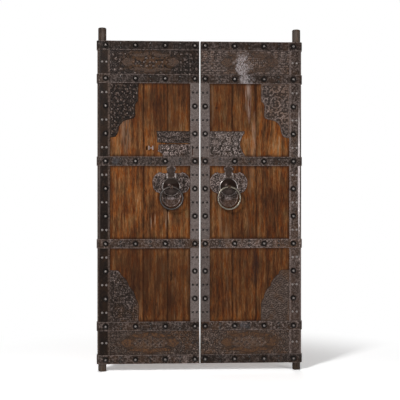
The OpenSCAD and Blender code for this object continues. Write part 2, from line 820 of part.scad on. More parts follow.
module left_bottom_panel() { color(plate_c) leaf(LEFT) panel(1); }
module left_upper_corner() { color(plate_c) leaf(LEFT) upper_corner(false); }
module left_lower_corner() { color(plate_c) leaf(LEFT) lower_corner(); }
module left_lock_upper() { color(plate_c) leaf(LEFT) lock_upper(); }
module left_lock_lower() { color(plate_c) leaf(LEFT) lock_lower(); }
module left_staple() { color(iron_c) leaf(LEFT) staple(); }
module left_pull_plate() { color(plate_c) leaf(LEFT) pull_plate(); }
module left_boss() { color(iron_c) leaf(LEFT) boss(); }
module left_eye() { color(ring_c) leaf(LEFT) eye(); }
module left_washer() { color(iron_c) leaf(LEFT) washer(); }
module left_ring() { color(ring_c) leaf(LEFT) ring(); }
module left_dome_nails() { color(nail_c) leaf(LEFT) dome_nails(); }
module left_small_nails() { color(nail_c) leaf(LEFT) small_nails(); }
module left_studs() { color(plate_c) leaf(LEFT) studs(false); }
module right_stile() { color(post_c) leaf(RIGHT) stile(); }
module right_board_1() { color(wood_c) leaf(RIGHT) board(1); }
module right_board_2() { color(wood_c) leaf(RIGHT) board(2); }
module right_board_3() { color(wood_c) leaf(RIGHT) board(3); }
module right_battens() { color(post_c) leaf(RIGHT) battens(); }
module right_strap_1() { color(iron_c) leaf(RIGHT) strap(1); }
module right_strap_2() { color(iron_c) leaf(RIGHT) strap(2); }
module right_strap_3() { color(iron_c) leaf(RIGHT) strap(3); }
module right_strap_4() { color(iron_c) leaf(RIGHT) strap(4); }
module right_strap_5() { color(iron_c) leaf(RIGHT) strap(5); }
module right_strap_6() { color(iron_c) leaf(RIGHT) strap(6); }
module right_stile_sheet() { color(sheet_c) leaf(RIGHT) stile_sheet(); }
module right_meeting_strap() { color(sheet_c) leaf(RIGHT) meeting_strap(false); }
module right_top_panel() { color(plate_c) leaf(RIGHT) panel(0); }
module right_bottom_panel() { color(plate_c) leaf(RIGHT) panel(1); }
module right_upper_corner() { color(plate_c) leaf(RIGHT) upper_corner(true); }
module right_lower_corner() { color(plate_c) leaf(RIGHT) lower_corner(); }
module right_lock_plate() { color(plate_c) leaf(RIGHT) lock_plate(); }
module right_lock_flap() { color(iron_c) leaf(RIGHT) lock_flap(); }
module right_pull_plate() { color(plate_c) leaf(RIGHT) pull_plate(); }
module right_boss() { color(iron_c) leaf(RIGHT) boss(); }
module right_eye() { color(ring_c) leaf(RIGHT) eye(); }
module right_washer() { color(iron_c) leaf(RIGHT) washer(); }
module right_ring() { color(ring_c) leaf(RIGHT) ring(); }
module right_dome_nails() { color(nail_c) leaf(RIGHT) dome_nails(); }
module right_small_nails() { color(nail_c) leaf(RIGHT) small_nails(); }
module right_studs() { color(plate_c) leaf(RIGHT) studs(true); }

left_stile();
left_board_1();
left_board_2();
left_board_3();
left_battens();
left_strap_1();
left_strap_2();
left_strap_3();
left_strap_4();
left_strap_5();
left_strap_6();
left_stile_sheet();
left_meeting_strap();
left_top_panel();
left_bottom_panel();
left_upper_corner();
left_lower_corner();
left_lock_upper();
left_lock_lower();
left_staple();
left_pull_plate();
left_boss();
left_eye();
left_washer();
left_ring();
left_dome_nails();
left_small_nails();
left_studs();
right_stile();
right_board_1();
right_board_2();
right_board_3();
right_battens();
right_strap_1();
right_strap_2();
right_strap_3();
right_strap_4();
right_strap_5();
right_strap_6();
right_stile_sheet();
right_meeting_strap();
right_top_panel();
right_bottom_panel();
right_upper_corner();
right_lower_corner();
right_lock_plate();
right_lock_flap();
right_pull_plate();
right_boss();
right_eye();
right_washer();
right_ring();
right_dome_nails();
right_small_nails();
right_studs();
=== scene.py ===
"""Finish and staging of an iron-clad pair of temple door leaves.

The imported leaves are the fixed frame. Plates with embossed work are rebuilt here as relief sheets on
their own outlines, and every other piece keeps its solid and gets its finish.

A place on a leaf is given as u, z: u runs from the pivot axis to the meeting edge, z up from the floor.
Lengths are millimetres, apart from names that end in _m, which are metres as the frame is.
"""

import logging
import math
from abc import ABC, abstractmethod
from collections.abc import Callable, Iterable, Sequence
from dataclasses import dataclass
from enum import Enum
from functools import reduce
from itertools import product
from typing import Any

import bpy
import numpy as np
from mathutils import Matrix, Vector

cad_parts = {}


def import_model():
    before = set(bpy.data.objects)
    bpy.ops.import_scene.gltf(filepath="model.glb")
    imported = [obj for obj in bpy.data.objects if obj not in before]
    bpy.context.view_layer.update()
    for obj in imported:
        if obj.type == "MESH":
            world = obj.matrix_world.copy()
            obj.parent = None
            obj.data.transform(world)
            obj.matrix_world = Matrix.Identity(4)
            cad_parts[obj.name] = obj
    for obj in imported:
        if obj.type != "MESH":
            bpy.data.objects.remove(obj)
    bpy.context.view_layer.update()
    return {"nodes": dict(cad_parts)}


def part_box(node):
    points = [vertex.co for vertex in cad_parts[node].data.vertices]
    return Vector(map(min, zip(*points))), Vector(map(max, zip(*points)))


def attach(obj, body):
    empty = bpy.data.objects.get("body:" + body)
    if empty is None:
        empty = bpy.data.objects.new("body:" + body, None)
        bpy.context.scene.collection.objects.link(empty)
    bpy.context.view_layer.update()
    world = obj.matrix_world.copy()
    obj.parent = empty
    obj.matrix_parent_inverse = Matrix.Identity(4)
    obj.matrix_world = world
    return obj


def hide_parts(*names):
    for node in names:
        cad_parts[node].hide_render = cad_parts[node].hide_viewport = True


LOG = logging.getLogger("temple_door")
MM = 0.001
RELIEF = "relief"
HASH_STEPS = (127.1, 311.7, 74.7)
HASH_SIZE = 43758.5453
CURL_EYE = 0.24
CURL_PITCH = 38.0

Array = np.ndarray
Triple = tuple[float, float, float]
Colour = Triple
Corners = Sequence[Triple]
Distance = Callable[[Array, Array], Array]


class Side(Enum):
    """The leaf that a piece belongs to."""

    LEFT = "left"
    RIGHT = "right"

    def node(self, part: str) -> str:
        """Name of this leaf's node for a part."""
        return f"{self.value}_{part}"

    @property
    def body(self) -> str:
        """Name of the moving body of this leaf."""
        return self.node("leaf")

    @property
    def along(self) -> float:
        """Direction of u along X."""
        return 1.0 if self is Side.LEFT else -1.0


class Emboss(Enum):
    """How the field of a plate is worked."""

    STUDDED = "large dots, loosely placed"
    SCROLLED = "raised scrolls"
    DENSE = "small dots, closely placed"
    LATTICE = "small dots round crossed ribs"
    DASHED = "rows of short dashes"
    WAVED = "overlapping scales of arcs"


# Signed distances and relief


def ease(low: float, high: float, x: Array) -> Array:
    """Smooth step from 0 at low to 1 at high: 3t² - 2t³ of the share t of the way."""
    t = np.clip((x - low) / (high - low), 0.0, 1.0)
    return t * t * (3.0 - 2.0 * t)


def hashed(i: Array, j: Array, seed: float) -> Array:
    """Repeatable scatter from 0 to 1: the fraction of a large sine of a cell's two indices."""
    wave = np.sin(i * HASH_STEPS[0] + j * HASH_STEPS[1] + seed * HASH_STEPS[2])
    return np.modf(np.abs(wave) * HASH_SIZE)[0]


def bowed_outline(corners: Corners, width: float, height: float, steps: int = 10) -> Array:
    """Closed outline of straight edges and arcs.

    The bow of an edge is the tangent of a quarter of its arc, positive where the edge swells outwards,
    so the arc turns by four times the arctangent and its centre lies on the chord's middle line.

    Args:
        corners: Places in shares of width and height, each with the bow of the edge that follows.
        width: Size that the first share is of.
        height: Size that the second share is of.
        steps: Points along an arc.

    Returns:
        The outline's points, one row each.
    """
    points = np.array([(c[0] * width, c[1] * height) for c in corners])
    runs = []
    for a, b, corner in zip(points, np.roll(points, -1, axis=0), corners):
        if corner[2] == 0.0:
            runs.append(a[None])
            continue
        turn = 4.0 * math.atan(corner[2])
        chord = b - a
        centre = (a + b) / 2 + np.array((-chord[1], chord[0])) / (2.0 * math.tan(turn / 2))
        spoke = a - centre
        t = turn * np.arange(steps) / steps
        across = spoke[0] * np.cos(t) - spoke[1] * np.sin(t)
        up = spoke[0] * np.sin(t) + spoke[1] * np.cos(t)
        runs.append(centre + np.stack((across, up), axis=1))
    return np.concatenate(runs)


def lobed_oval(width: float, height: float, lobe: float, count: int = 96) -> Array:
    """Oval with eight shallow lobes: each half size grows by the lobe times the cosine of eight turns.

    Args:
        width: Length of the oval.
        height: Height of the oval.
        lobe: Depth of the lobes.
        count: Points round the oval.

    Returns:
        The outline's points, one row each.
    """
    t = 2.0 * math.pi * np.arange(count) / count
    grow = lobe * np.cos(8.0 * t)
    return np.stack(((width / 2 + grow) * np.cos(t), (height / 2 + grow) * np.sin(t)), axis=1)


def spiral(u: float, z: float, radius: float, start: float, turns: float, count: int = 34) -> Array:
    """Middle line of a scroll: a radius that opens from a quarter to its full size as it turns.

    Args:
        u: Place of the scroll's middle.
        z: Height of the scroll's middle.
        radius: Outer radius.
        start: Angle of the inner end in degrees.
        turns: Number of turns.
        count: Points along the line.

    Returns:
        The line's points, one row each.
    """
    t = np.linspace(0.0, 1.0, count)
    a = math.radians(start) + 2.0 * math.pi * turns * t
    r = radius * (CURL_EYE + (1.0 - CURL_EYE) * t)
    return np.stack((u + r * np.cos(a), z + r * np.sin(a)), axis=1)


def line_distance(points: Array, u: Array, z: Array) -> Array:
    """Distance to an open line: the least over its straight runs.

    Args:
        points: The line's points.
        u: Places across the leaf.
        z: Places up the leaf.

    Returns:
        The distances.
    """
    nearest = np.full(u.shape, np.inf)
    for a, b in zip(points[:-1], points[1:]):
        d = b - a
        t = np.clip(((u - a[0]) * d[0] + (z - a[1]) * d[1]) / max(d @ d, 1e-9), 0.0, 1.0)
        nearest = np.minimum(nearest, (u - a[0] - t * d[0]) ** 2 + (z - a[1] - t * d[1]) ** 2)
    return np.sqrt(nearest)


def outline_distance(points: Array) -> Distance:
    """Signed distance to a closed outline, negative inside.

    The size is the distance to the nearest edge, and the sign comes from counting how often a ray to
    the side crosses the outline.

    Args:
        points: The outline's points.

    Returns:
        A function of u and z.
    """
    ring = np.concatenate((points, points[:1]))

    def distance(u: Array, z: Array) -> Array:
        """Signed distance at each place."""
        inside = np.zeros(u.shape, dtype=bool)
        for a, b in zip(ring[:-1], ring[1:]):
            rise = b[1] - a[1] if b[1] != a[1] else 1.0
            inside ^= ((a[1] > z) != (b[1] > z)) & (u < a[0] + (z - a[1]) * (b[0] - a[0]) / rise)
        d = line_distance(ring, u, z)
        return np.where(inside, -d, d)

    return distance


def rectangle_distance(u0: float, u1: float, z0: float, z1: float) -> Distance:
    """Signed distance to an upright rectangle: the larger of the two overshoots."""
    mid_u, mid_z = (u0 + u1) / 2, (z0 + z1) / 2
    half_u, half_z = (u1 - u0) / 2, (z1 - z0) / 2
    return lambda u, z: np.maximum(np.abs(u - mid_u) - half_u, np.abs(z - mid_z) - half_z)


def rib(distance: Array, width: float, height: float) -> Array:
    """Rounded bar along a line: a parabola of its distance, nothing past half its width."""
    return height * np.clip(1.0 - (2.0 * distance / width) ** 2, 0.0, None)


def dents(u: Array, z: Array, size: float, seed: float) -> Array:
    """Slow waves from -1 to 1: scattered heights at grid corners, eased across each cell.

    Args:
        u: Places across the leaf.
        z: Places up the leaf.
        size: Side of a cell.
        seed: Choice of scatter.

    Returns:
        Heights.
    """
    i, j = np.floor(u / size), np.floor(z / size)
    s, t = ease(0.0, 1.0, u / size - i), ease(0.0, 1.0, z / size - j)
    low = hashed(i, j, seed) * (1 - s) + hashed(i + 1, j, seed) * s
    high = hashed(i, j + 1, seed) * (1 - s) + hashed(i + 1, j + 1, seed) * s
    return 2.0 * (low * (1 - t) + high * t) - 1.0


class Pattern(ABC):
    """Work that repeats over the field of a plate."""

    @abstractmethod
    def heights(self, u: Array, z: Array, seed: float) -> Array:
        """Heights of the work over the sheet.

        Args:
            u: Places across the leaf.
            z: Places up the leaf.
            seed: Choice of scatter.

        Returns:
            Heights.
        """


@dataclass(frozen=True)
class Dots(Pattern):
    """Round bumps, one in each cell of a square grid, pushed off its middle.

    Attributes:
        pitch: Side of a cell.
        radius: Mean radius of a bump.
        height: Height of the highest bump.
        jitter: Share of the cell that a bump may lie off its middle.
        least: Size of the smallest bump, as a share of the mean radius.
        spread: How much larger the largest bump is, as the same share.
    """

    pitch: float
    radius: float
    height: float
    jitter: float
    least: float = 0.7
    spread: float = 0.5

    def heights(self, u: Array, z: Array, seed: float) -> Array:
        """One less the square of the distance to a bump's middle over its radius, highest of nine cells."""
        i, j = np.floor(u / self.pitch), np.floor(z / self.pitch)
        best = np.zeros(u.shape)
        for di, dj in product((-1, 0, 1), repeat=2):
            ci, cj = i + di, j + dj
            mu = (ci + 0.5 + self.jitter * (hashed(ci, cj, seed) - 0.5)) * self.pitch
            mz = (cj + 0.5 + self.jitter * (hashed(ci, cj, seed + 1.7) - 0.5)) * self.pitch
            size = self.least + self.spread * hashed(ci, cj, seed + 3.1)
            bump = 1.0 - ((u - mu) ** 2 + (z - mz) ** 2) / (self.radius * size) ** 2
            best = np.maximum(best, np.clip(bump, 0.0, None) * size / (self.least + self.spread))
        return self.height * best


@dataclass(frozen=True)
class Dashes(Pattern):
    """Rows of short level bars.

    Attributes:
        length: Length of a bar and its gap.
        pitch: Distance between rows.
        height: Height of the bars.
    """

    length: float
    pitch: float
    height: float

    def heights(self, u: Array, z: Array, seed: float) -> Array:
        """Ribs along the rows, broken by a wave whose phase changes by row."""
        row = np.floor(z / self.pitch)
        phase = u / self.length + hashed(row, row * 0.0, seed)
        broken = ease(-0.5, 0.3, np.cos(2.0 * math.pi * phase))
        return rib(np.abs(z - (row + 0.5) * self.pitch), 0.75 * self.pitch, self.height) * broken


@dataclass(frozen=True)
class ScaleArcs(Pattern):
    """Overlapping scales of arcs, in staggered rows half a radius apart, each row over the one above.

    Attributes:
        radius: Radius of a scale.
        gap: Distance between its arcs.
        height: Height of the arcs.
    """

    radius: float
    gap: float
    height: float

    def heights(self, u: Array, z: Array, seed: float) -> Array:
        """A rib on every whole gap inwards from the rim of the scale that shows at a place."""
        rise = self.radius / 2
        top = np.floor(z / rise)
        shown = np.zeros(u.shape)
        for row in (top, top - 1):
            shift = self.radius * (row % 2)
            column = np.round((u - shift) / (2 * self.radius)) * 2 * self.radius + shift
            reach = np.hypot(u - column, z - row * rise)
            shown = np.where((reach < self.radius) | (row == top), reach, shown)
        return rib(np.abs((self.radius - shown) % self.gap - self.gap / 2), 0.7 * self.gap, self.height)


@dataclass(frozen=True)
class Border:
    """A rib inside the edge of a plate, with the field's work beginning behind it.

    Attributes:
        inset: Distance of the rib's middle from the edge.
        width: Width of the rib.
        height: Height of the rib.
        bare: Distance from the edge where the work begins.
        full: Distance where it has its full height.
    """

    inset: float
    width: float
    height: float
    bare: float
    full: float

    def around(self, field: Array, edge: Array) -> Array:
        """The higher of the rib and a field that fades out towards the edge."""
        bar = rib(np.abs(edge + self.inset), self.width, self.height)
        return np.maximum(bar, field * ease(self.bare, self.full, -edge))


def curl_rows(u0: float, u1: float, z0: float, z1: float, pitch: float, seed: float) -> list[Array]:
    """Scrolls in staggered rows that fill a box, each turned and sized a little differently.

    Args:
        u0: Near side of the box.
        u1: Far side of the box.
        z0: Foot of the box.
        z1: Top of the box.
        pitch: Distance between scrolls.
        seed: Choice of scatter.

    Returns:
        The scrolls' middle lines.
    """
    rows = max(1, round((z1 - z0) / (0.9 * pitch)))
    columns = max(1, round((u1 - u0) / pitch))
    j, i = (a.ravel() for a in np.mgrid[0:rows, 0:columns])
    u = u0 + (i + 0.35 + 0.3 * (j % 2) + 0.3 * (hashed(i, j, seed) - 0.5)) * (u1 - u0) / columns
    z = z0 + (j + 0.5 + 0.25 * (hashed(i, j, seed + 1.0) - 0.5)) * (z1 - z0) / rows
    radius = pitch * (0.38 + 0.10 * hashed(i, j, seed + 2.0))
    start = 360.0 * hashed(i, j, seed + 3.0)
    hand = np.where(hashed(i, j, seed + 4.0) > 0.5, 1.25, -1.25)
    return [spiral(*each, count=22) for each in zip(u, z, radius, start, hand)]


# Shader expressions


class Value:
    """A number socket that takes part in Python sums."""

    def __init__(self, tree: "Tree", socket: bpy.types.NodeSocket) -> None:
        """Wraps one output socket of a tree."""
        self.tree = tree
        self.socket = socket

    def _math(self, operation: str, *terms: Any) -> "Value":
        """Adds a Math node on the terms in their order."""
        node = self.tree.add("ShaderNodeMath", {"operation": operation}, dict(enumerate(terms)))
        return Value(self.tree, node.outputs[0])

    def __add__(self, other: Any) -> "Value":
        """Sum."""
        return self._math("ADD", self, other)

    def __radd__(self, other: Any) -> "Value":
        """Sum with a number on the left."""
        return self._math("ADD", other, self)

    def __sub__(self, other: Any) -> "Value":
        """Difference."""
        return self._math("SUBTRACT", self, other)

    def __rsub__(self, other: Any) -> "Value":
        """Difference from a number on the left."""
        return self._math("SUBTRACT", other, self)

    def __mul__(self, other: Any) -> "Value":
        """Product."""
        return self._math("MULTIPLY", self, other)

    def __rmul__(self, other: Any) -> "Value":
        """Product with a number on the left."""
        return self._math("MULTIPLY", other, self)

    def __truediv__(self, other: Any) -> "Value":
        """Quotient."""
        return self._math("DIVIDE", self, other)

    def __pow__(self, other: Any) -> "Value":
        """Power."""
        return self._math("POWER", self, other)

    def __abs__(self) -> "Value":
        """Size without its sign."""
        return self._math("ABSOLUTE", self)

    def highest(self, other: Any) -> "Value":
        """The larger of two."""
        return self._math("MAXIMUM", self, other)

    def band(self, low: float, high: float) -> "Value":
        """Smooth step, falling where low is the larger.

        Args:
            low: Where the step is 0.
            high: Where the step is 1.

        Returns:
            The step.
        """
        down = low > high
        ends = {
            "From Min": min(low, high), "From Max": max(low, high),
            "To Min": float(down), "To Max": float(not down),
        }
        settings = {"interpolation_type": "SMOOTHSTEP"}
        node = self.tree.add("ShaderNodeMapRange", settings, {"Value": self, **ends})
        return Value(self.tree, node.outputs[0])


class Tree:
    """Node tree of one material or world, filled by expressions."""

    def __init__(self, owner: bpy.types.ID) -> None:
        """Starts with an empty tree."""
        owner.use_nodes = True
        self.tree = owner.node_tree
        self.tree.nodes.clear()

    @classmethod
    def material(cls, name: str) -> tuple["Tree", bpy.types.Material]:
        """A new material and its tree."""
        made = bpy.data.materials.new(name)
        return cls(made), made

    def add(
        self, kind: str, settings: dict[str, Any] | None = None, sockets: dict[Any, Any] | None = None,
    ) -> bpy.types.Node:
        """Adds a node.

        Args:
            kind: Type of the node.
            settings: Its own settings, set before its sockets; stops are those of a colour ramp.
            sockets: Numbers, colours or links by the name or number of the input.

        Returns:
            The node.
        """
        node = self.tree.nodes.new(kind)
        for key, setting in (settings or {}).items():
            if key == "stops":
                self._set_stops(node.color_ramp, setting)
            else:
                setattr(node, key, setting)
        for key, given in (sockets or {}).items():
            given = given.socket if isinstance(given, Value) else given
            if isinstance(given, bpy.types.NodeSocket):
                self.tree.links.new(given, node.inputs[key])
            else:
                node.inputs[key].default_value = given
        return node

    @staticmethod
    def _set_stops(ramp: bpy.types.ColorRamp, stops: Sequence[tuple[float, Colour]]) -> None:
        """Gives a ramp its stops.

        Args:
            ramp: The ramp.
            stops: Places and colours, from low to high.
        """
        while len(ramp.elements) < len(stops):
            ramp.elements.new(1.0)
        for element, (place, colour) in zip(ramp.elements, stops):
            element.position = place
            element.color = (*colour, 1.0)

    def place(self) -> bpy.types.NodeSocket:
        """Object coordinates, in metres."""
        return self.add("ShaderNodeTexCoord").outputs["Object"]

    def axes(self) -> tuple[Value, Value, Value]:
        """Object coordinates as three numbers in metres."""
        return self.split(self.place())

    def split(self, vector: bpy.types.NodeSocket) -> tuple[Value, Value, Value]:
        """The three numbers of a vector."""
        x, y, z = self.add("ShaderNodeSeparateXYZ", None, {0: vector}).outputs
        return Value(self, x), Value(self, y), Value(self, z)

    def facing(self) -> Value:
        """How far a surface looks to the front or the back: the size of its own normal's Y part."""
        return abs(self.split(self.add("ShaderNodeTexCoord").outputs["Normal"])[1])

    def stretched(self, scale: Triple, shift: Triple = (0.0, 0.0, 0.0)) -> bpy.types.NodeSocket:
        """Object coordinates, stretched and then shifted."""
        sockets = {"Vector": self.place(), "Scale": scale, "Location": shift}
        return self.add("ShaderNodeMapping", None, sockets).outputs[0]

    def noise(
        self, at: bpy.types.NodeSocket, scale: float, detail: float = 4.0, rough: float = 0.55,
    ) -> Value:
        """Soft noise from 0 to 1 at a place."""
        sockets = {"Vector": at, "Scale": scale, "Detail": detail, "Roughness": rough}
        return Value(self, self.add("ShaderNodeTexNoise", None, sockets).outputs[0])

    def cells(self, at: bpy.types.NodeSocket, scale: float) -> Value:
        """Distance to the nearest of scattered points."""
        node = self.add("ShaderNodeTexVoronoi", None, {"Vector": at, "Scale": scale})
        return Value(self, node.outputs[0])

    @staticmethod
    def highest(values: Iterable[Value]) -> Value:
        """The highest of several numbers."""
        return reduce(Value.highest, values)

    def attribute(self, name: str) -> Value:
        """A number kept on the mesh."""
        node = self.add("ShaderNodeAttribute", {"attribute_name": name})
        return Value(self, node.outputs["Fac"])

    def mix(self, share: Any, a: Any, b: Any, blend: str = "MIX") -> bpy.types.NodeSocket:
        """Colour between two others.

        Args:
            share: Share of the second.
            a: First colour.
            b: Second colour.
            blend: How the second goes over the first.

        Returns:
            The mixed colour.
        """
        a = (*a, 1.0) if isinstance(a, tuple) else a
        b = (*b, 1.0) if isinstance(b, tuple) else b
        node = self.add("ShaderNodeMix", {"data_type": "RGBA", "blend_type": blend}, {0: share, 6: a, 7: b})
        return node.outputs[2]

    def ramp(self, share: Value, stops: Sequence[tuple[float, Colour]]) -> bpy.types.NodeSocket:
        """Colour along a ramp."""
        return self.add("ShaderNodeValToRGB", {"stops": stops}, {0: share}).outputs[0]

    def surface(self, others: dict[str, Any], colour: Any, rough: Any, bump: Value, depth_m: float) -> None:
        """Closes the tree with a Principled surface.

        Args:
            others: Further values or links, by socket name.
            colour: Base colour.
            rough: Roughness.
            bump: Height for the bump, from 0 to 1.
            depth_m: Depth of the bump.
        """
        normal = self.add("ShaderNodeBump", None, {"Strength": 1.0, "Distance": depth_m, "Height": bump})
        sockets = {"Base Color": colour, "Roughness": rough, "Normal": normal.outputs[0], **others}
        shader = self.add("ShaderNodeBsdfPrincipled", None, sockets)
        self.add("ShaderNodeOutputMaterial", None, {"Surface": shader.outputs[0]})


@dataclass(frozen=True)
class Stain:
    """A soft patch of another colour on the door's face, given in door coordinates.

    Attributes:
        x: Middle across the door.
        z: Middle above the floor.
        half_x: Half its width.
        half_z: Half its height.
        colour: Its colour.
        strength: Its cover at the middle.
        ragged: How far its edge wanders, as a share of its size.
        broken: How much of it is broken up.
        grain: How often the break-up repeats along each axis, per metre.
        soft: Share of its size over which the edge fades.
        depth: How far behind the wood's face it reaches.
    """

    x: float
    z: float
    half_x: float
    half_z: float
    colour: Colour
    strength: float = 0.7
    ragged: float = 0.8
    broken: float = 0.6
    grain: Triple = (90.0, 90.0, 60.0)
    soft: float = 0.65
    depth: float = 20.0

    def lay(self, tree: Tree, base: Any) -> bpy.types.NodeSocket:
        """Lays the stain over a colour.

        Args:
            tree: Tree to add to.
            base: Colour under the stain.

        Returns:
            The stained colour.
        """
        x, y, z = tree.axes()
        across = (x - self.x * MM) / (self.half_x * MM)
        up = (z - self.z * MM) / (self.half_z * MM)
        coarse = (1.0 / (self.half_x * MM), 6.0, 1.4 / (self.half_z * MM))
        coarse_at = tree.stretched(coarse, (self.x * 0.013, 0.0, self.z * 0.007))
        wander = tree.noise(coarse_at, 1.6, 5.0, 0.62)
        reach = (across * across + up * up) ** 0.5 + self.ragged * 2.0 * (wander - 0.5)
        fine_at = tree.stretched(self.grain, (self.z * 0.011, 0.0, self.x * 0.017))
        breaks = tree.noise(fine_at, 1.0, 4.0, 0.65)
        cover = (1.0 - self.broken) + self.broken * breaks.band(0.42, 0.58)
        front = y.band(self.depth * MM, 0.5 * self.depth * MM)
        share = reach.band(1.0, 1.0 - self.soft) * cover * front * self.strength
        return tree.mix(share, base, self.colour)


@dataclass(frozen=True)
class WoodFinish:
    """Old dark-stained softwood with open grain.

    Attributes:
        name: Name of the material.
        deep: Colour of the dark grain.
        dusk: Colour between the dark grain and the main colour.
        warm: Main colour.
        gold: Colour of the light grain.
        pale: Colour of the worn streaks.
        russet: Tint of the redder wood.
        ashen: Tint of the greyer wood.
        grain: How often the grain repeats along each axis, per metre.
        seed: Choice of grain.
        rows: Middle heights and half widths of the iron across the wood, along which grime and painted shade
            darken it.
        columns: Middles and half widths of the iron up the wood.
        grime_w: How far the grime and painted shade reach from the iron.
        seams: Places across the door where two boards meet.
        stains: Patches laid over the wood.
        bump_m: Depth of the grain.
    """

    name: str
    deep: Colour = (0.021, 0.0068, 0.0025)
    dusk: Colour = (0.067, 0.0225, 0.0072)
    warm: Colour = (0.132, 0.0490, 0.0150)
    gold: Colour = (0.222, 0.0950, 0.0310)
    pale: Colour = (0.310, 0.1780, 0.0950)
    russet: Colour = (1.0, 0.68, 0.30)
    ashen: Colour = (0.74, 0.90, 1.0)
    grain: Triple = (1.0, 1.0, 0.11)
    seed: float = 0.0
    rows: tuple[tuple[float, float], ...] = ()
    columns: tuple[tuple[float, float], ...] = ()
    grime_w: float = 26.0
    seams: tuple[float, ...] = ()
    stains: tuple[Stain, ...] = ()
    bump_m: float = 0.0016

    def _grime(self, tree: Tree) -> Value:
        """Grime and painted shade: one along the iron that crosses the wood, fading out over two finger
        widths.

        Args:
            tree: Tree to add to.

        Returns:
            The share of grime and painted shade.
        """
        x, _, z = tree.axes()
        bands = [(z, *row) for row in self.rows] + [(x, *column) for column in self.columns]
        return tree.highest(
            abs(along - middle * MM).band((half + self.grime_w) * MM, (half - 2.0) * MM)
            for along, middle, half in bands
        )

    def _rings(self, tree: Tree, shift: Triple) -> Value:
        """Growth rings: slow, wavy bands along the grain.

        Args:
            tree: Tree to add to.
            shift: Choice of place in the pattern.

        Returns:
            The bands, from 0 to 1.
        """
        slow = tuple(2.2 * often for often in self.grain)
        bands = tree.add(
            "ShaderNodeTexWave", {"bands_direction": "X" if self.grain[0] >= self.grain[2] else "Z"},
            {
                "Vector": tree.stretched(slow, shift), "Scale": 4.2, "Distortion": 9.0,
                "Detail": 3.0, "Detail Scale": 1.4,
            },
        )
        return Value(tree, bands.outputs["Fac"])

    def _tinted(
        self, tree: Tree, streak: Value, fibre: bpy.types.NodeSocket, shift: Triple,
    ) -> bpy.types.NodeSocket:
        """Colour of the grain, turned redder in some patches and greyer in others.

        Args:
            tree: Tree to add to.
            streak: Streaks of the grain, dark to light.
            fibre: Places along the grain.
            shift: Choice of place in the pattern.

        Returns:
            The colour.
        """
        stops = (
            (0.16, self.deep), (0.33, self.dusk), (0.50, self.warm), (0.66, self.gold), (0.86, self.pale),
        )
        patch = tree.noise(tree.stretched((38.0, 38.0, 9.0), shift), 1.0, 5.0, 0.7)
        hue = 0.6 * patch + 0.4 * tree.noise(fibre, 150.0, 3.0, 0.7)
        tint = tree.ramp(hue, ((0.43, self.russet), (0.51, (1.0, 1.0, 1.0)), (0.59, self.ashen)))
        return tree.mix(1.0, tree.ramp(streak, stops), tint, "MULTIPLY")

    def _marked(self, tree: Tree, colour: bpy.types.NodeSocket, shift: Triple) -> bpy.types.NodeSocket:
        """Lays the dark seams, the stains, and the grime and painted shade along the iron over the wood.

        Args:
            tree: Tree to add to.
            colour: Colour of the wood.
            shift: Choice of place in the pattern.

        Returns:
            The marked colour.
        """
        edge = tree.noise(tree.stretched((9.0, 9.0, 9.0), shift), 2.0, 4.0)
        for seam in self.seams:
            near = abs(tree.axes()[0] - seam * MM).band(0.011, 0.001)
            colour = tree.mix(near * (0.35 + 0.6 * edge.band(0.35, 0.6)), colour, self.deep)
        for stain in self.stains:
            colour = stain.lay(tree, colour)
        if self.rows or self.columns:
            # Grime along the iron, with painted shade where the wood meets its edges.
            colour = tree.mix(self._grime(tree) * (0.5 + 0.42 * edge.band(0.3, 0.6)), colour, self.deep)
        return colour

    def build(self) -> bpy.types.Material:
        """Makes the material: growth rings, streaks of three widths, wear, cracks and marks."""
        tree, material = Tree.material(self.name)
        shift = (self.seed * 3.7, self.seed * 1.3, self.seed * 2.1)
        fibre = tree.stretched(self.grain, shift)
        wide = tree.noise(fibre, 26.0, 4.0, 0.6)
        narrow = tree.noise(fibre, 170.0, 4.0, 0.7)
        fine = tree.noise(fibre, 460.0, 2.0, 0.6)
        cloud = tree.noise(tree.stretched((6.5, 6.5, 2.6), shift), 1.0, 5.0, 0.62)
        streak = 0.9 * cloud + 0.55 * wide + 0.86 * narrow + 0.46 * fine
        streak = streak + 0.12 * self._rings(tree, shift) - 0.945
        colour = self._tinted(tree, streak, fibre, shift)
        worn = tree.noise(fibre, 34.0, 4.0).band(0.54, 0.68) * tree.noise(fibre, 6.0, 3.0).band(0.46, 0.6)
        colour = tree.mix(0.4 * worn, colour, self.pale)
        crack = abs(tree.noise(fibre, 23.0, 2.0) - 0.5).band(0.012, 0.003) * cloud.band(0.50, 0.42)
        colour = self._marked(tree, tree.mix(0.7 * crack, colour, self.deep), shift)
        height = 0.55 * narrow + 0.45 * fine - 0.8 * crack
        tree.surface({"Specular IOR Level": 0.1}, colour, 0.50 + 0.3 * narrow, height, self.bump_m)
        return material


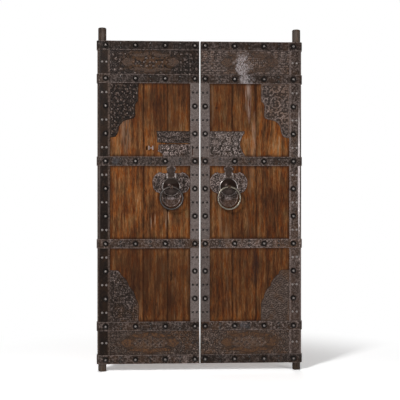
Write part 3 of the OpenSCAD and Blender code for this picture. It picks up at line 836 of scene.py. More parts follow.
@dataclass(frozen=True)
class IronFinish:
    """Old wrought iron under a dark oxide skin, rubbed bright where it stands proud.

    The rubbing is partly painted highlight, and painted shade is laid in embossed ground, on the sides of
    round pieces and round the nails.

    Attributes:
        name: Name of the material.
        tone: Brightness of the whole skin against the common one.
        bare: How much of the skin is rubbed to the paler metal.
        rust: How much brown rust shows.
        grit: Number of mottles per metre.
        rough: Mean roughness.
        metallic: Metallic share where the skin is rubbed.
        embossed: True where the mesh keeps its relief: its ground is darkened by oxide and painted shade,
        its raised work paled by wear and painted highlight.
        crown: How far a surface looks to the front where painted shade gives way to the rubbed crest
        and where the crest is whole, on round pieces such as nail heads, if any.
        specular: Gloss of the oxide.
        seed: Choice of mottling.
        bump_m: Depth of the pitted skin.
        edges: Axis, middle and half width of a band of iron whose two long edges are lightened by wear and
        painted highlight, if any, and the width of the lightened part.
        edge_wear: How bright the lightened edges are, as wear and painted highlight.
        nails: Places of the nails that painted shade is laid round, in door coordinates.
        soot_r: Radius of the painted shade round a nail.
        stains: Patches laid over the iron.
        skin: Colour of the oxide.
        metal: Colour where the skin is rubbed.
        brown: Colour of the rust.
        pit: Colour of the pits, and of the painted shade in embossed ground, on crown sides and round nails.
        dull: Metallic share of the oxide.
    """

    name: str
    tone: float = 1.0
    bare: float = 0.5
    rust: float = 0.35
    grit: float = 78.0
    rough: float = 0.46
    metallic: float = 0.6
    embossed: bool = False
    crown: tuple[float, float] | None = None
    specular: float = 0.12
    seed: float = 0.0
    bump_m: float = 0.0014
    edges: tuple[int, float, float, float] | None = None
    edge_wear: float = 0.55
    nails: tuple[tuple[float, float], ...] = ()
    soot_r: float = 23.0
    stains: tuple[Stain, ...] = ()
    skin: Colour = (0.030, 0.0190, 0.0140)
    metal: Colour = (0.250, 0.1930, 0.1740)
    brown: Colour = (0.090, 0.0430, 0.0200)
    pit: Colour = (0.006, 0.0040, 0.0030)
    dull: float = 0.06

    def _toned(self, colour: Colour) -> Colour:
        """A colour at this finish's tone."""
        return (colour[0] * self.tone, colour[1] * self.tone, colour[2] * self.tone)

    def _soot(self, tree: Tree) -> Value:
        """Painted shade under and round the nails: one by the distance to the nearest of them.

        Args:
            tree: Tree to add to.

        Returns:
            The share of painted shade.
        """
        x, _, z = tree.axes()
        ways = [(x - nail_x * MM, z - nail_z * MM) for nail_x, nail_z in self.nails]
        return tree.highest(
            ((across * across + up * up) ** 0.5).band(self.soot_r * MM, 0.72 * self.soot_r * MM)
            for across, up in ways
        )

    def _rub(
        self, tree: Tree, colour: bpy.types.NodeSocket, shine: Value, mottle: Value,
    ) -> tuple[bpy.types.NodeSocket, Value]:
        """Darkens the ground of embossed work, and rubs what stands proud: relief, crowns, long edges.

        The dark ground is oxide and painted shade, the dark sides of crowns are painted shade, and the
        rubbed parts are wear and painted highlight.

        Args:
            tree: Tree to add to.
            colour: Colour of the skin.
            shine: Share of the skin that is rubbed.
            mottle: Mottling of the skin.

        Returns:
            The colour and the rubbed share.
        """
        if self.embossed:
            raised = tree.attribute(RELIEF)
            # Oxide and painted shade darken the ground; the raised work is rubbed paler, partly as painted
            # highlight.
            colour = tree.mix(raised.band(0.30, 0.0) * 0.75, colour, self._toned(self.pit))
            worn = raised.band(0.40, 0.95) * (0.35 + 0.65 * mottle.band(0.36, 0.62))
            colour = tree.mix(worn * 0.75, colour, self._toned(self.metal))
            shine = shine.highest(worn)
        if self.crown is not None:
            # Painted shade: the sides of round pieces that look away from the front take the pit colour.
            crest = tree.facing().band(*self.crown)
            colour = tree.mix(crest, self._toned(self.pit), colour)
            shine = shine * crest
        if self.edges is not None:
            # Long edges lightened, as wear and painted highlight.
            axis, middle, half, wide = self.edges
            rim = abs(tree.axes()[axis] - middle * MM).band((half - wide) * MM, (half - 0.3 * wide) * MM)
            rim = rim * mottle.band(0.3, 0.6) * self.edge_wear
            colour = tree.mix(rim, colour, self.metal)
            shine = shine.highest(rim)
        return colour, shine

    def build(self) -> bpy.types.Material:
        """Makes the material: oxide, rubbed mottles, rust, pits, wear with painted light, stains and painted
        shade round the nails.
        """
        tree, material = Tree.material(self.name)
        shift = (self.seed * 2.9, self.seed * 1.1, self.seed * 4.3)
        at = tree.stretched((1.0, 1.0, 1.0), shift)
        cloud = tree.noise(at, 8.0, 4.0, 0.6)
        mottle = tree.noise(at, self.grit, 4.0, 0.7)
        speck = tree.noise(at, self.grit * 2.3, 2.0, 0.6)
        pits = tree.cells(at, self.grit * 1.1)
        worn_at = 0.66 - 0.28 * self.bare
        rubbed = (0.16 * cloud + 0.58 * mottle + 0.26 * speck).band(worn_at - 0.07, worn_at + 0.11)
        colour = tree.mix(rubbed, self._toned(self.skin), self._toned(self.metal))
        rusty_at = tree.stretched((1.0, 1.0, 0.7), (shift[2], shift[0], shift[1]))
        rusty = tree.noise(rusty_at, 13.0, 5.0, 0.65)
        colour = tree.mix(rusty.band(0.47, 0.64) * self.rust, colour, self._toned(self.brown))
        colour = tree.mix(pits.band(0.30, 0.06) * 0.75, colour, self._toned(self.pit))
        colour, shine = self._rub(tree, colour, rubbed, mottle)
        for stain in self.stains:
            colour = stain.lay(tree, colour)
        if self.nails:
            # Painted shade round the nails.
            colour = tree.mix(0.8 * self._soot(tree), colour, self.pit)
        rough = self.rough + 0.14 * (0.5 - shine) + 0.1 * (rusty - 0.5)
        metallic = self.dull + (self.metallic - self.dull) * shine
        others = {"Specular IOR Level": self.specular, "Metallic": metallic}
        tree.surface(others, colour, rough, 0.65 * mottle + 0.35 * pits, self.bump_m)
        return material


def dress(piece: bpy.types.Object, material: bpy.types.Material) -> None:
    """Gives every slot of a piece one material.

    Args:
        piece: The piece.
        material: Its material.
    """
    if not piece.material_slots:
        piece.data.materials.append(material)
    for slot in piece.material_slots:
        slot.material = material


# Embossed plates

LATTICE_GROUND = Dots(10.5, 4.6, 1.7, 0.6)
DASH_ROWS = Dashes(46.0, 15.0, 1.0)
DASH_GROUND = Dots(11.0, 4.4, 0.8, 0.7)
DASH_MEDAL = Dots(14.0, 5.4, 1.9, 0.4)
STUD_LARGE = Dots(33.0, 9.5, 2.4, 0.5)
STUD_SMALL = Dots(10.0, 3.8, 0.9, 0.6)
STUD_MEDAL = Dots(27.0, 8.5, 2.4, 0.3)
CORNER_LARGE = Dots(24.0, 8.0, 2.6, 0.8)
CORNER_SMALL = Dots(11.0, 4.4, 1.3, 0.7)
CORNER_DENSE = Dots(11.0, 4.9, 2.0, 0.7)
CORNER_SCALES = ScaleArcs(56.0, 14.0, 1.4)
SCALE_GROUND = Dots(11.0, 4.6, 1.3, 0.8)
CURL_GROUND = Dots(19.0, 7.4, 1.5, 0.8)
LOCK_GROUND = Dots(12.0, 5.2, 1.5, 0.7)
PULL_GROUND = Dots(13.0, 5.6, 1.4, 0.8)
BEATEN = Dots(12.5, 6.2, 1.0, 0.8)

CORNER_BORDER = Border(6.0, 6.5, 1.19, 7.0, 11.0)
LOCK_BORDER = Border(5.0, 5.0, 1.0, 5.0, 9.0)
PULL_BORDER = Border(4.5, 7.0, 1.9, 6.0, 9.0)


@dataclass(frozen=True)
class Extent:
    """Box of a node in its leaf's own coordinates.

    Attributes:
        u0: End nearest to the pivot axis.
        u1: End nearest to the meeting edge.
        z0: Foot.
        z1: Top.
    """

    u0: float
    u1: float
    z0: float
    z1: float

    @property
    def width(self) -> float:
        """Size across the leaf."""
        return self.u1 - self.u0

    @property
    def height(self) -> float:
        """Size up the leaf."""
        return self.z1 - self.z0

    @property
    def mid_u(self) -> float:
        """Middle across the leaf."""
        return (self.u0 + self.u1) / 2

    @property
    def mid_z(self) -> float:
        """Middle up the leaf."""
        return (self.z0 + self.z1) / 2


@dataclass(frozen=True)
class LeafFrame:
    """Where one leaf stands in the door.

    Attributes:
        side: The leaf.
        axis_x: Place of its pivot axis across the door.
    """

    side: Side
    axis_x: float

    @classmethod
    def read(cls, side: Side) -> "LeafFrame":
        """Finds the pivot axis, which lies half the stile's thickness inside its outer edge."""
        low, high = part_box(side.node("stile"))
        outer = low.x if side is Side.LEFT else high.x
        return cls(side, (outer + side.along * (high.y - low.y) / 2) / MM)

    def extent(self, part: str) -> Extent:
        """Box of one of the leaf's nodes."""
        low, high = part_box(self.side.node(part))
        ends = sorted((x / MM - self.axis_x) * self.side.along for x in (low.x, high.x))
        return Extent(ends[0], ends[1], low.z / MM, high.z / MM)

    def x_at(self, u: Any) -> Any:
        """Place across the door of a u, or an array of them, on the leaf."""
        return self.axis_x + self.side.along * u

    def points(self, u: Array, y: Array, z: Array) -> Array:
        """Door coordinates in metres of places on the leaf."""
        return np.stack((self.x_at(u), y, z), axis=1) * MM


@dataclass
class EmbossedPlate(ABC):
    """A plate of sheet iron, cut to an outline and embossed from behind.

    Attributes:
        leaf: The leaf that carries it.
        part: Name of its node, without the side.
        finish: Its finish.
        work: How its field is worked.
        thickness: Thickness of the sheet.
        pitch: Distance between the points of its mesh.
        seed: Choice of scatter.
        slot: Name of a material slot; not used.
        rib_w: Width of a raised rib.
        rib_h: Height of a raised rib.
        tallest: Height of work that counts as fully raised.
        proud: How far the dented sheet stands off its own thickness.
        lip_w: Width of the edge that is beaten down.
        lip_d: Depth of the edge that is beaten down.
        fade: Distance from the edge over which the work rises.
        wear: Size of the patches where scrolls are worn down.
    """

    leaf: LeafFrame
    part: str
    finish: IronFinish
    work: Emboss = Emboss.STUDDED
    thickness: float = 2.0
    pitch: float = 2.2
    seed: float = 0.0
    slot: str = "plates"
    rib_w: float = 6.5
    rib_h: float = 1.7
    tallest: float = 2.2
    proud: float = 0.2
    lip_w: float = 3.0
    lip_d: float = 0.7
    fade: float = 5.0
    wear: float = 24.0

    def __post_init__(self) -> None:
        """Reads the node's box from the frame."""
        self.box = self.leaf.extent(self.part)

    def cut(self) -> Distance:
        """Signed distance to the plate's outline; a plain plate fills its node's box."""
        return rectangle_distance(self.box.u0, self.box.u1, self.box.z0, self.box.z1)

    @abstractmethod
    def relief(self, u: Array, z: Array, edge: Array) -> Array:
        """Height of the embossed work over the sheet.

        Args:
            u: Places across the leaf.
            z: Places up the leaf.
            edge: Signed distance to the plate's outline there.

        Returns:
            Heights.
        """

    def _scrolls(self, u: Array, z: Array, lines: Iterable[Array]) -> Array:
        """Height of raised scrolls: the highest of the ribs along the lines, worn down here and there.

        Args:
            u: Places across the leaf.
            z: Places up the leaf.
            lines: Middle lines of the scrolls.

        Returns:
            Heights.
        """
        ribs = [rib(line_distance(line, u, z), self.rib_w, self.rib_h) for line in lines]
        whole = ease(-0.4, 0.2, dents(u, z, self.wear, self.seed + 6.0))
        return np.max(ribs, axis=0) * (0.42 + 0.58 * whole)

    def build(self) -> bpy.types.Object:
        """Makes the plate's mesh.

        A square grid covers the outline. Cells whose corners all lie inside it, or less than half a
        cell outside, are kept. Points on the rim of the kept cells slide along the slope of the
        distance onto the outline. The front stands the sheet's thickness and the relief off the wood,
        the back lies on it, and walls join the two round the rim.

        Returns:
            The plate's object.
        """
        cut = self.cut()
        u, z, quads, rim_edges = self._trimmed_grid(cut)
        edge = cut(u, z)
        work = self.relief(u, z, edge) * ease(0.0, self.fade, -edge)
        dent = 0.25 * dents(u, z, 46.0, self.seed) + 0.15 * dents(u, z, 17.0, self.seed + 5.0)
        lip = self.lip_d * (1.0 - ease(0.0, self.lip_w, -edge))
        front = self.leaf.points(u, -(self.thickness + work + dent + self.proud - lip), z)
        back = self.leaf.points(u, np.zeros(u.shape), z)
        count = len(u)
        start, end = rim_edges.T
        walls = np.stack((end, start, start + count, end + count), axis=1)
        faces = np.concatenate((quads, quads[:, ::-1] + count, walls))
        if self.leaf.side is Side.RIGHT:
            faces = faces[:, ::-1]
        piece = self._object(np.concatenate((front, back)), faces)
        shade = np.concatenate((np.clip(work / self.tallest, 0.0, 1.0), np.zeros(count)))
        attribute = piece.data.attributes.new(RELIEF, "FLOAT", "POINT")
        attribute.data.foreach_set("value", shade.astype(np.float32))
        return piece

    def _trimmed_grid(self, cut: Distance) -> tuple[Array, Array, Array, Array]:
        """Grid of the plate's face, trimmed to its outline.

        Args:
            cut: Signed distance to the outline.

        Returns:
            Places u and z, the quads between them, and the edges along the rim in their quads' order.
        """
        cols = int(round(self.box.width / self.pitch))
        rows = int(round(self.box.height / self.pitch))
        step_u, step_z = self.box.width / cols, self.box.height / rows
        grid_u = self.box.u0 + step_u * np.arange(-1, cols + 2)
        grid_z = self.box.z0 + step_z * np.arange(-1, rows + 2)
        u, z = np.meshgrid(grid_u, grid_z, indexing="ij")
        kept = cut(u, z) < 0.5 * self.pitch
        cells = kept[:-1, :-1] & kept[1:, :-1] & kept[1:, 1:] & kept[:-1, 1:]
        number = np.arange(u.size).reshape(u.shape)
        corners = (number[:-1, :-1], number[1:, :-1], number[1:, 1:], number[:-1, 1:])
        quads = np.stack(corners, axis=-1)[cells]
        used, quads = np.unique(quads, return_inverse=True)
        quads = quads.reshape(-1, 4)
        u, z = u.ravel()[used], z.ravel()[used]
        edges = quads[:, [0, 1, 1, 2, 2, 3, 3, 0]].reshape(-1, 2)
        key = np.sort(edges, axis=1) @ np.array((len(u), 1))
        _, which, uses = np.unique(key, return_inverse=True, return_counts=True)
        rim_edges = edges[uses[which] == 1]
        rim = np.unique(rim_edges)
        probe = 0.1
        for _ in range(2):
            ru, rz = u[rim], z[rim]
            slope_u = (cut(ru + probe, rz) - cut(ru - probe, rz)) / (2 * probe)
            slope_z = (cut(ru, rz + probe) - cut(ru, rz - probe)) / (2 * probe)
            steep = np.maximum(slope_u**2 + slope_z**2, 0.25)
            u[rim] = ru - cut(ru, rz) * slope_u / steep
            z[rim] = rz - cut(ru, rz) * slope_z / steep
        return u, z, quads, rim_edges

    def _object(self, points: Array, faces: Array) -> bpy.types.Object:
        """Puts points and quads into a new object that stands for the plate's node.

        Args:
            points: Places in metres, one row each.
            faces: Numbers of each quad's points.

        Returns:
            The object.
        """
        node = self.leaf.side.node(self.part)
        mesh = bpy.data.meshes.new(f"{node}_sheet")
        mesh.vertices.add(len(points))
        mesh.vertices.foreach_set("co", points.astype(np.float32).ravel())
        mesh.loops.add(faces.size)
        mesh.loops.foreach_set("vertex_index", faces.astype(np.int32).ravel())
        mesh.polygons.add(len(faces))
        mesh.polygons.foreach_set("loop_start", np.arange(0, faces.size, 4, dtype=np.int32))
        mesh.update(calc_edges=True)
        mesh.shade_smooth()
        mesh.set_sharp_from_angle(angle=math.radians(55.0))
        piece = bpy.data.objects.new(f"{node}_sheet", mesh)
        bpy.context.scene.collection.objects.link(piece)
        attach(piece, self.leaf.side.body)
        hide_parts(node)
        return piece

    def make(self) -> bpy.types.Object:
        """Builds and dresses the plate."""
        piece = self.build()
        dress(piece, self.finish.build())
        LOG.info("%s: %d faces, %s", piece.name, len(piece.data.polygons), self.work.value)
        return piece


@dataclass
class PanelPlate(EmbossedPlate):
    """Top or bottom panel plate, pierced round a medallion that bars hold in a lobed oval.

    Attributes:
        oval_w: Width of the oval.
        oval_h: Height of the oval.
        medal_w: Width of the medallion.
        medal_h: Height of the medallion.
        lobe: Depth of the lobes of both.
        bar_w: Width of the bars.
        bar_angles: Directions of the bars on a circle that is then flattened to the oval, in degrees.
        lip_in: Distance of the low lips from the edges of the oval and the medallion.
        medal_rim: Width of the medallion's plain rim.
        oval_rim: Width of the plain rim round the oval.
        lattice_tilt: Angle of the lattice's ribs in degrees.
        lattice_cells: Number of the lattice's cells along the medallion.
    """

    oval_w: float = 364.0
    oval_h: float = 130.0
    medal_w: float = 236.0
    medal_h: float = 84.0
    lobe: float = 5.0
    bar_w: float = 20.0
    bar_angles: tuple[float, ...] = (90.0, 36.0, 144.0, 216.0, 324.0)
    lip_in: float = 6.0
    medal_rim: float = 8.0
    oval_rim: float = 10.0
    lattice_tilt: float = 40.0
    lattice_cells: int = 7

    def __post_init__(self) -> None:
        """Centres the oval between the stile and the meeting strap."""
        super().__post_init__()
        inner, outer = self.leaf.extent("stile").u1, self.leaf.extent("meeting_strap").u0
        self.mid_u, self.mid_z = (inner + outer) / 2, self.box.mid_z
        self.oval = outline_distance(lobed_oval(self.oval_w, self.oval_h, self.lobe))
        self.medal = outline_distance(lobed_oval(self.medal_w, self.medal_h, self.lobe))

    def _bars(self, u: Array, z: Array) -> Array:
        """Signed distance to the bars: strips of one width along rays from the middle.

        Args:
            u: Places across, from the oval's middle.
            z: Places up, from the oval's middle.

        Returns:
            The distances.
        """
        nearest = np.full(u.shape, np.inf)
        for angle in self.bar_angles:
            a = math.radians(angle)
            ray = math.atan2(self.oval_h * math.sin(a), self.oval_w * math.cos(a))
            across = np.abs(z * math.cos(ray) - u * math.sin(ray)) - self.bar_w / 2
            nearest = np.minimum(nearest, np.maximum(across, -(u * math.cos(ray) + z * math.sin(ray))))
        return nearest

    def cut(self) -> Distance:
        """Signed distance to the plate without its windows."""
        sheet = super().cut()

        def distance(u: Array, z: Array) -> Array:
            """The sheet, less what lies in the oval but in neither the medallion nor the bars."""
            mu, mz = u - self.mid_u, z - self.mid_z
            window = np.maximum(self.oval(mu, mz), -np.minimum(self.medal(mu, mz), self._bars(mu, mz)))
            return np.maximum(sheet(u, z), -window)

        return distance

    def relief(self, u: Array, z: Array, edge: Array) -> Array:
        """Lips round the oval and the medallion, dots on the ground, and dots or a lattice inside."""
        mu, mz = u - self.mid_u, z - self.mid_z
        oval, medal = self.oval(mu, mz), self.medal(mu, mz)
        lips = [
            rib(np.abs(gap), self.rib_w, self.rib_h) for gap in (oval - self.lip_in, medal + self.lip_in)
        ]
        ground, inner = self._fields(u, z)
        rim = np.where(oval > self.oval_rim, ground, 0.3 * ground)
        return np.maximum(0.25 * np.maximum(*lips), np.where(medal < -self.medal_rim, inner, rim))

    def _fields(self, u: Array, z: Array) -> tuple[Array, Array]:
        """Heights of the work on the ground and in the medallion.

        Args:
            u: Places across the leaf.
            z: Places up the leaf.

        Returns:
            The heights on the ground and those in the medallion.
        """
        seed = self.seed
        if self.work is Emboss.LATTICE:
            ground = LATTICE_GROUND.heights(u, z, seed)
            return ground, 0.8 * np.maximum(self._lattice(u - self.mid_u, z - self.mid_z), ground)
        if self.work is Emboss.DASHED:
            ground = np.maximum(DASH_ROWS.heights(u, z, seed), DASH_GROUND.heights(u, z, seed))
            return ground, DASH_MEDAL.heights(u, z, seed + 2.0)
        ground = np.maximum(STUD_LARGE.heights(u, z, seed), STUD_SMALL.heights(u, z, seed + 4.0))
        return ground, np.maximum(STUD_MEDAL.heights(u, z, seed + 2.0), 0.5 * ground)

    def _lattice(self, u: Array, z: Array) -> Array:
        """Two sets of crossed ribs: the distance to the nearest line of each set, by remainder.

        Args:
            u: Places across, from the oval's middle.
            z: Places up, from the oval's middle.

        Returns:
            Heights.
        """
        tilt = math.radians(self.lattice_tilt)
        gap = self.medal_w / self.lattice_cells * math.sin(tilt)
        heights = []
        for lean in (1.0, -1.0):
            across = u * math.sin(tilt) - lean * z * math.cos(tilt)
            heights.append(rib(np.abs((across + gap / 2) % gap - gap / 2), 0.8 * self.rib_w, self.rib_h))
        return np.maximum(heights[0], heights[1])


@dataclass
class CornerPlate(EmbossedPlate):
    """Corner plate with a cut outline.

    Attributes:
        shape: Outline in shares of the plate's box.
        upper: True where the plate hangs from the strap above it.
        curls: Scrolls on a scrolled plate: place in shares of the box, radius, start and turns.
    """

    shape: Corners = ()
    upper: bool = True
    curls: tuple[tuple[float, float, float, float, float], ...] = ()

    def cut(self) -> Distance:
        """Signed distance to the bowed outline."""
        base = self.box.z1 if self.upper else self.box.z0
        points = bowed_outline(self.shape, self.box.width, self.box.height)
        return outline_distance(points + np.array((self.box.u0, base)))

    def relief(self, u: Array, z: Array, edge: Array) -> Array:
        """A rib inside the edge, and dots, scales or scrolls on the field."""
        seed = self.seed
        if self.work is Emboss.STUDDED:
            field = np.maximum(CORNER_LARGE.heights(u, z, seed), CORNER_SMALL.heights(u, z, seed + 4.0))
        elif self.work is Emboss.DENSE:
            field = CORNER_DENSE.heights(u, z, seed)
        elif self.work is Emboss.WAVED:
            field = np.maximum(CORNER_SCALES.heights(u, z, seed), SCALE_GROUND.heights(u, z, seed))
        else:
            wide, tall = self.box.width, self.box.height
            lines = [
                spiral(self.box.u0 + a * wide, self.box.z1 - b * tall, r, start, turns, 60)
                for a, b, r, start, turns in self.curls
            ]
            field = np.maximum(1.3 * self._scrolls(u, z, lines), CURL_GROUND.heights(u, z, seed))
        return CORNER_BORDER.around(field, edge)


@dataclass
class LockPlate(EmbossedPlate):
    """Lock plate beside the meeting strap, whole or one half of a split one.

    Attributes:
        shape: Outline in shares of the plate's box.
        near: Distance of the scrolls from the end nearest to the pivot.
        far: Distance of the scrolls from the meeting strap.
        margin: Distance of the scrolls from the foot and the top.
    """

    shape: Corners = ()
    near: float = 8.0
    far: float = 30.0
    margin: float = 5.0

    def cut(self) -> Distance:
        """Signed distance to the bowed outline, which starts at the meeting strap."""
        points = bowed_outline(self.shape, self.box.width, self.box.height)
        return outline_distance(points + np.array((self.box.u1, self.box.z0)))

    def relief(self, u: Array, z: Array, edge: Array) -> Array:
        """Rows of scrolls on a dotted field, with a thin rib inside the edge."""
        box = self.box
        low, high = box.z0 + self.margin, box.z1 - self.margin
        lines = curl_rows(box.u0 + self.near, box.u1 - self.far, low, high, CURL_PITCH, self.seed)
        ground = LOCK_GROUND.heights(u, z, self.seed)
        return LOCK_BORDER.around(np.maximum(1.3 * self._scrolls(u, z, lines), ground), edge)


@dataclass
class PullPlate(EmbossedPlate):
    """Winged back plate of a ring pull.

    Attributes:
        wing: Outline of the right half, in shares of half the width and of the height over the boss.
        hole: Diameter of the hole for the eye.
        knob_r: Radius of the knob at the top.
        knob_in: Distance of the knob from the top.
        tongue_r: Half the width of the tongue from the boss up to the knob.
        tongue_rise: Height over which the tongue comes out of the sheet.
        boss_edge: Distances from the boss's middle where the work begins and has its full height.
        wing_foot: Heights from the boss's middle where the scrolls begin and have their full height.
        reach: How far below the boss's middle the rows of scrolls start.
        side_in: Distance of the scrolls from the sides.
        top_in: Distance of the scrolls from the top.
    """

    wing: Corners = ()
    hole: float = 12.5
    knob_r: float = 25.0
    knob_in: float = 6.0
    tongue_r: float = 19.0
    tongue_rise: float = 10.0
    boss_edge: tuple[float, float] = (58.0, 64.0)
    wing_foot: tuple[float, float] = (-52.0, -40.0)
    reach: float = 40.0
    side_in: float = 6.0
    top_in: float = 4.0

    def __post_init__(self) -> None:
        """Finds the middle of the boss."""
        super().__post_init__()
        boss = self.leaf.extent("boss")
        self.mid_u, self.mid_z = boss.mid_u, boss.mid_z

    def cut(self) -> Distance:
        """Signed distance to the two mirrored wings, less the hole for the eye."""
        top, low = self.box.z1 - self.mid_z, self.mid_z - self.box.z0
        scale = low / top / -self.wing[0][1]
        right = [(x, y * scale if y < 0 else y, bow) for x, y, bow in self.wing]
        left = [(-right[i][0], right[i][1], right[i - 1][2]) for i in range(len(right) - 1, 0, -1)]
        points = bowed_outline(right[:-1] + left, self.box.width / 2, top)
        wings = outline_distance(points + np.array((self.mid_u, self.mid_z)))

        def distance(u: Array, z: Array) -> Array:
            """The wings, less the round hole."""
            return np.maximum(wings(u, z), self.hole / 2 - np.hypot(u - self.mid_u, z - self.mid_z))

        return distance

    def relief(self, u: Array, z: Array, edge: Array) -> Array:
        """Scrolls on the wings, a smooth tongue up to a knob, a dotted lobe and a rib round the edge."""
        box = self.box
        low, high = self.mid_z - self.reach, box.z1 - self.top_in
        lines = curl_rows(box.u0 + self.side_in, box.u1 - self.side_in, low, high, CURL_PITCH, self.seed)
        across, up = np.abs(u - self.mid_u), z - self.mid_z
        curls = 1.25 * self._scrolls(u, z, lines) * ease(*self.wing_foot, up)
        field = np.maximum(curls, PULL_GROUND.heights(u, z, self.seed))
        worked = PULL_BORDER.around(field * ease(*self.boss_edge, np.hypot(across, up)), edge)
        knob = np.hypot(across, z - (box.z1 - self.knob_r - self.knob_in))
        tongue = rib(across, 2.0 * self.tongue_r, self.tallest) * ease(0.0, self.tongue_rise, up)
        smooth = np.maximum(tongue, rib(knob, 2.0 * self.knob_r, self.tallest))
        return np.where(smooth > 0.0, smooth, worked)


@dataclass
class MeetingStrap(EmbossedPlate):
    """Strap down the meeting edge, beaten flat, with a slot on one leaf.

    Attributes:
        slot_u: Distance of the slot from the strap's inner edge.
        slot_w: Width of the slot.
        slot_h: Height of the slot.
        slot_up: Height of the slot's foot over the foot of the lock.
        lock_part: Name of the lock's node that the slot goes with, if any.
        patch: Size of the patches where the dimples come and go.
    """

    slot_u: float = 10.44
    slot_w: float = 6.0
    slot_h: float = 62.0
    slot_up: float = 8.3
    lock_part: str = ""
    patch: float = 120.0

    def cut(self) -> Distance:
        """Signed distance to the strap, less its slot where the leaf has one."""
        strap = super().cut()
        if not self.lock_part:
            return strap
        u0 = self.box.u0 + self.slot_u
        z0 = self.leaf.extent(self.lock_part).z0 + self.slot_up
        slot = rectangle_distance(u0, u0 + self.slot_w, z0, z0 + self.slot_h)
        return lambda u, z: np.maximum(strap(u, z), -slot(u, z))

    def relief(self, u: Array, z: Array, edge: Array) -> Array:
        """Beaten dimples that come and go along the strap."""
        share = ease(-0.4, 0.4, dents(u, z, self.patch, self.seed + 8.0))
        return (0.35 + 0.65 * share) * BEATEN.heights(u, z, self.seed)


# Outlines, as shares of a plate's box

UPPER_SHAPE: Corners = (
    (0.0, 0.0, 0.0), (0.0, -1.0, 0.0), (0.19, -0.985, 0.15), (0.31, -0.84, -0.35), (0.63, -0.672, 0.0),
    (0.80, -0.65, 0.4), (0.885, -0.56, 0.0), (0.875, -0.455, -0.3), (0.985, -0.33, 0.0), (1.0, 0.0, 0.0),
)
LOWER_SHAPE: Corners = (
    (0.0, 0.0, 0.0), (1.0, 0.0, 0.0), (1.0, 0.27, 0.2), (0.9, 0.45, 0.22), (0.67, 0.68, 0.22),
    (0.38, 0.91, 0.3), (0.27, 0.995, 0.0), (0.0, 1.0, 0.0),
)
WING_SHAPE: Corners = (
    (0.0, -0.94, 0.41), (0.50, -0.52, 0.0), (0.53, -0.35, -0.12), (0.78, -0.25, 0.08), (0.94, -0.08, 0.1),
    (1.0, 0.22, 0.18), (0.84, 0.58, 0.15), (0.58, 0.70, -0.2), (0.20, 0.66, -0.3), (0.25, 0.80, 0.35),
    (0.16, 0.98, 0.1), (0.0, 1.0, 0.0),
)
LOCK_WHOLE: Corners = (
    (0.0, 0.0, 0.0), (0.0, 1.0, 0.0), (-0.98, 1.0, -0.1), (-0.839, 0.5, -0.1), (-1.0, 0.0, 0.0),
)
LOCK_UPPER: Corners = (
    (0.0, 0.0, 0.0), (0.0, 1.0, 0.0), (-1.0, 1.0, -0.12), (-0.98, 0.08, 0.0), (-0.6, 0.0, 0.0),
)
LOCK_LOWER: Corners = (
    (0.0, 0.0, 0.0), (0.0, 1.0, 0.0), (-0.6, 1.0, 0.0), (-0.97, 0.95, -0.1), (-1.0, 0.42, 0.0),
    (-0.9, 0.3, -0.3), (-0.84, 0.0, 0.0),
)

CORNER_CURLS = (
    (0.46, 0.36, 60.0, 40.0, 1.8), (0.86, 0.16, 40.0, 200.0, -0.9), (0.14, 0.12, 38.0, 300.0, 0.9),
    (0.50, 0.08, 34.0, 90.0, -0.7), (0.15, 0.66, 42.0, 120.0, -1.1), (0.83, 0.44, 34.0, 20.0, 0.8),
    (0.42, 0.70, 32.0, 240.0, 0.8), (0.12, 0.90, 26.0, 10.0, 0.8), (0.12, 0.38, 32.0, 150.0, 0.8),
    (0.66, 0.14, 26.0, 20.0, 0.7), (0.80, 0.30, 24.0, 170.0, -0.7), (0.30, 0.56, 26.0, 60.0, 0.7),
)

# Colours that differ from those of the common wood and iron

POST_WOOD = {
    "deep": (0.014, 0.0090, 0.0070), "dusk": (0.036, 0.0240, 0.0180), "warm": (0.064, 0.0460, 0.0370),
    "gold": (0.090, 0.0680, 0.0560), "pale": (0.120, 0.0920, 0.0780),
    "russet": (1.0, 0.90, 0.75), "ashen": (0.90, 0.97, 1.0),
}
DULL_IRON = {"skin": (0.052, 0.0350, 0.0275), "metal": (0.165, 0.1230, 0.1050)}
PALE_DULL_IRON = {"skin": (0.053, 0.0380, 0.0320), "metal": (0.167, 0.1290, 0.1160)}
BROWN_IRON = {"skin": (0.032, 0.0180, 0.0120), "metal": (0.250, 0.1750, 0.1430)}
GREY_IRON = {"skin": (0.031, 0.0220, 0.0175), "metal": (0.250, 0.2020, 0.1880)}
WORN_IRON = {"metal": (0.330, 0.2580, 0.2380)}
SMOOTH_IRON = {"skin": (0.091, 0.0715, 0.0645), "metal": (0.170, 0.1400, 0.1300)}
FORGED_SKIN = (0.055, 0.0450, 0.0390)
NAIL_CROWN = (0.240, 0.2100, 0.1960)
SMALL_CROWN = (0.160, 0.1350, 0.1220)
STUD_CROWN = (0.250, 0.1930, 0.1720)
BEAD_CROWN = (0.440, 0.3900, 0.3720)
# Ring crests: the left ring is darker, partly as painted shade, and its narrow crest leaves its sides in
# painted shade.
RING_CROWNS = {Side.LEFT: (0.130, 0.1120, 0.1050), Side.RIGHT: (0.320, 0.2800, 0.2190)}
RING_SHADE_AND_CREST = {Side.LEFT: (0.86, 0.995), Side.RIGHT: (0.6, 0.98)}
LIME = (0.350, 0.3120, 0.3140)
BLUE_SKIN = (0.070, 0.0740, 0.0860)
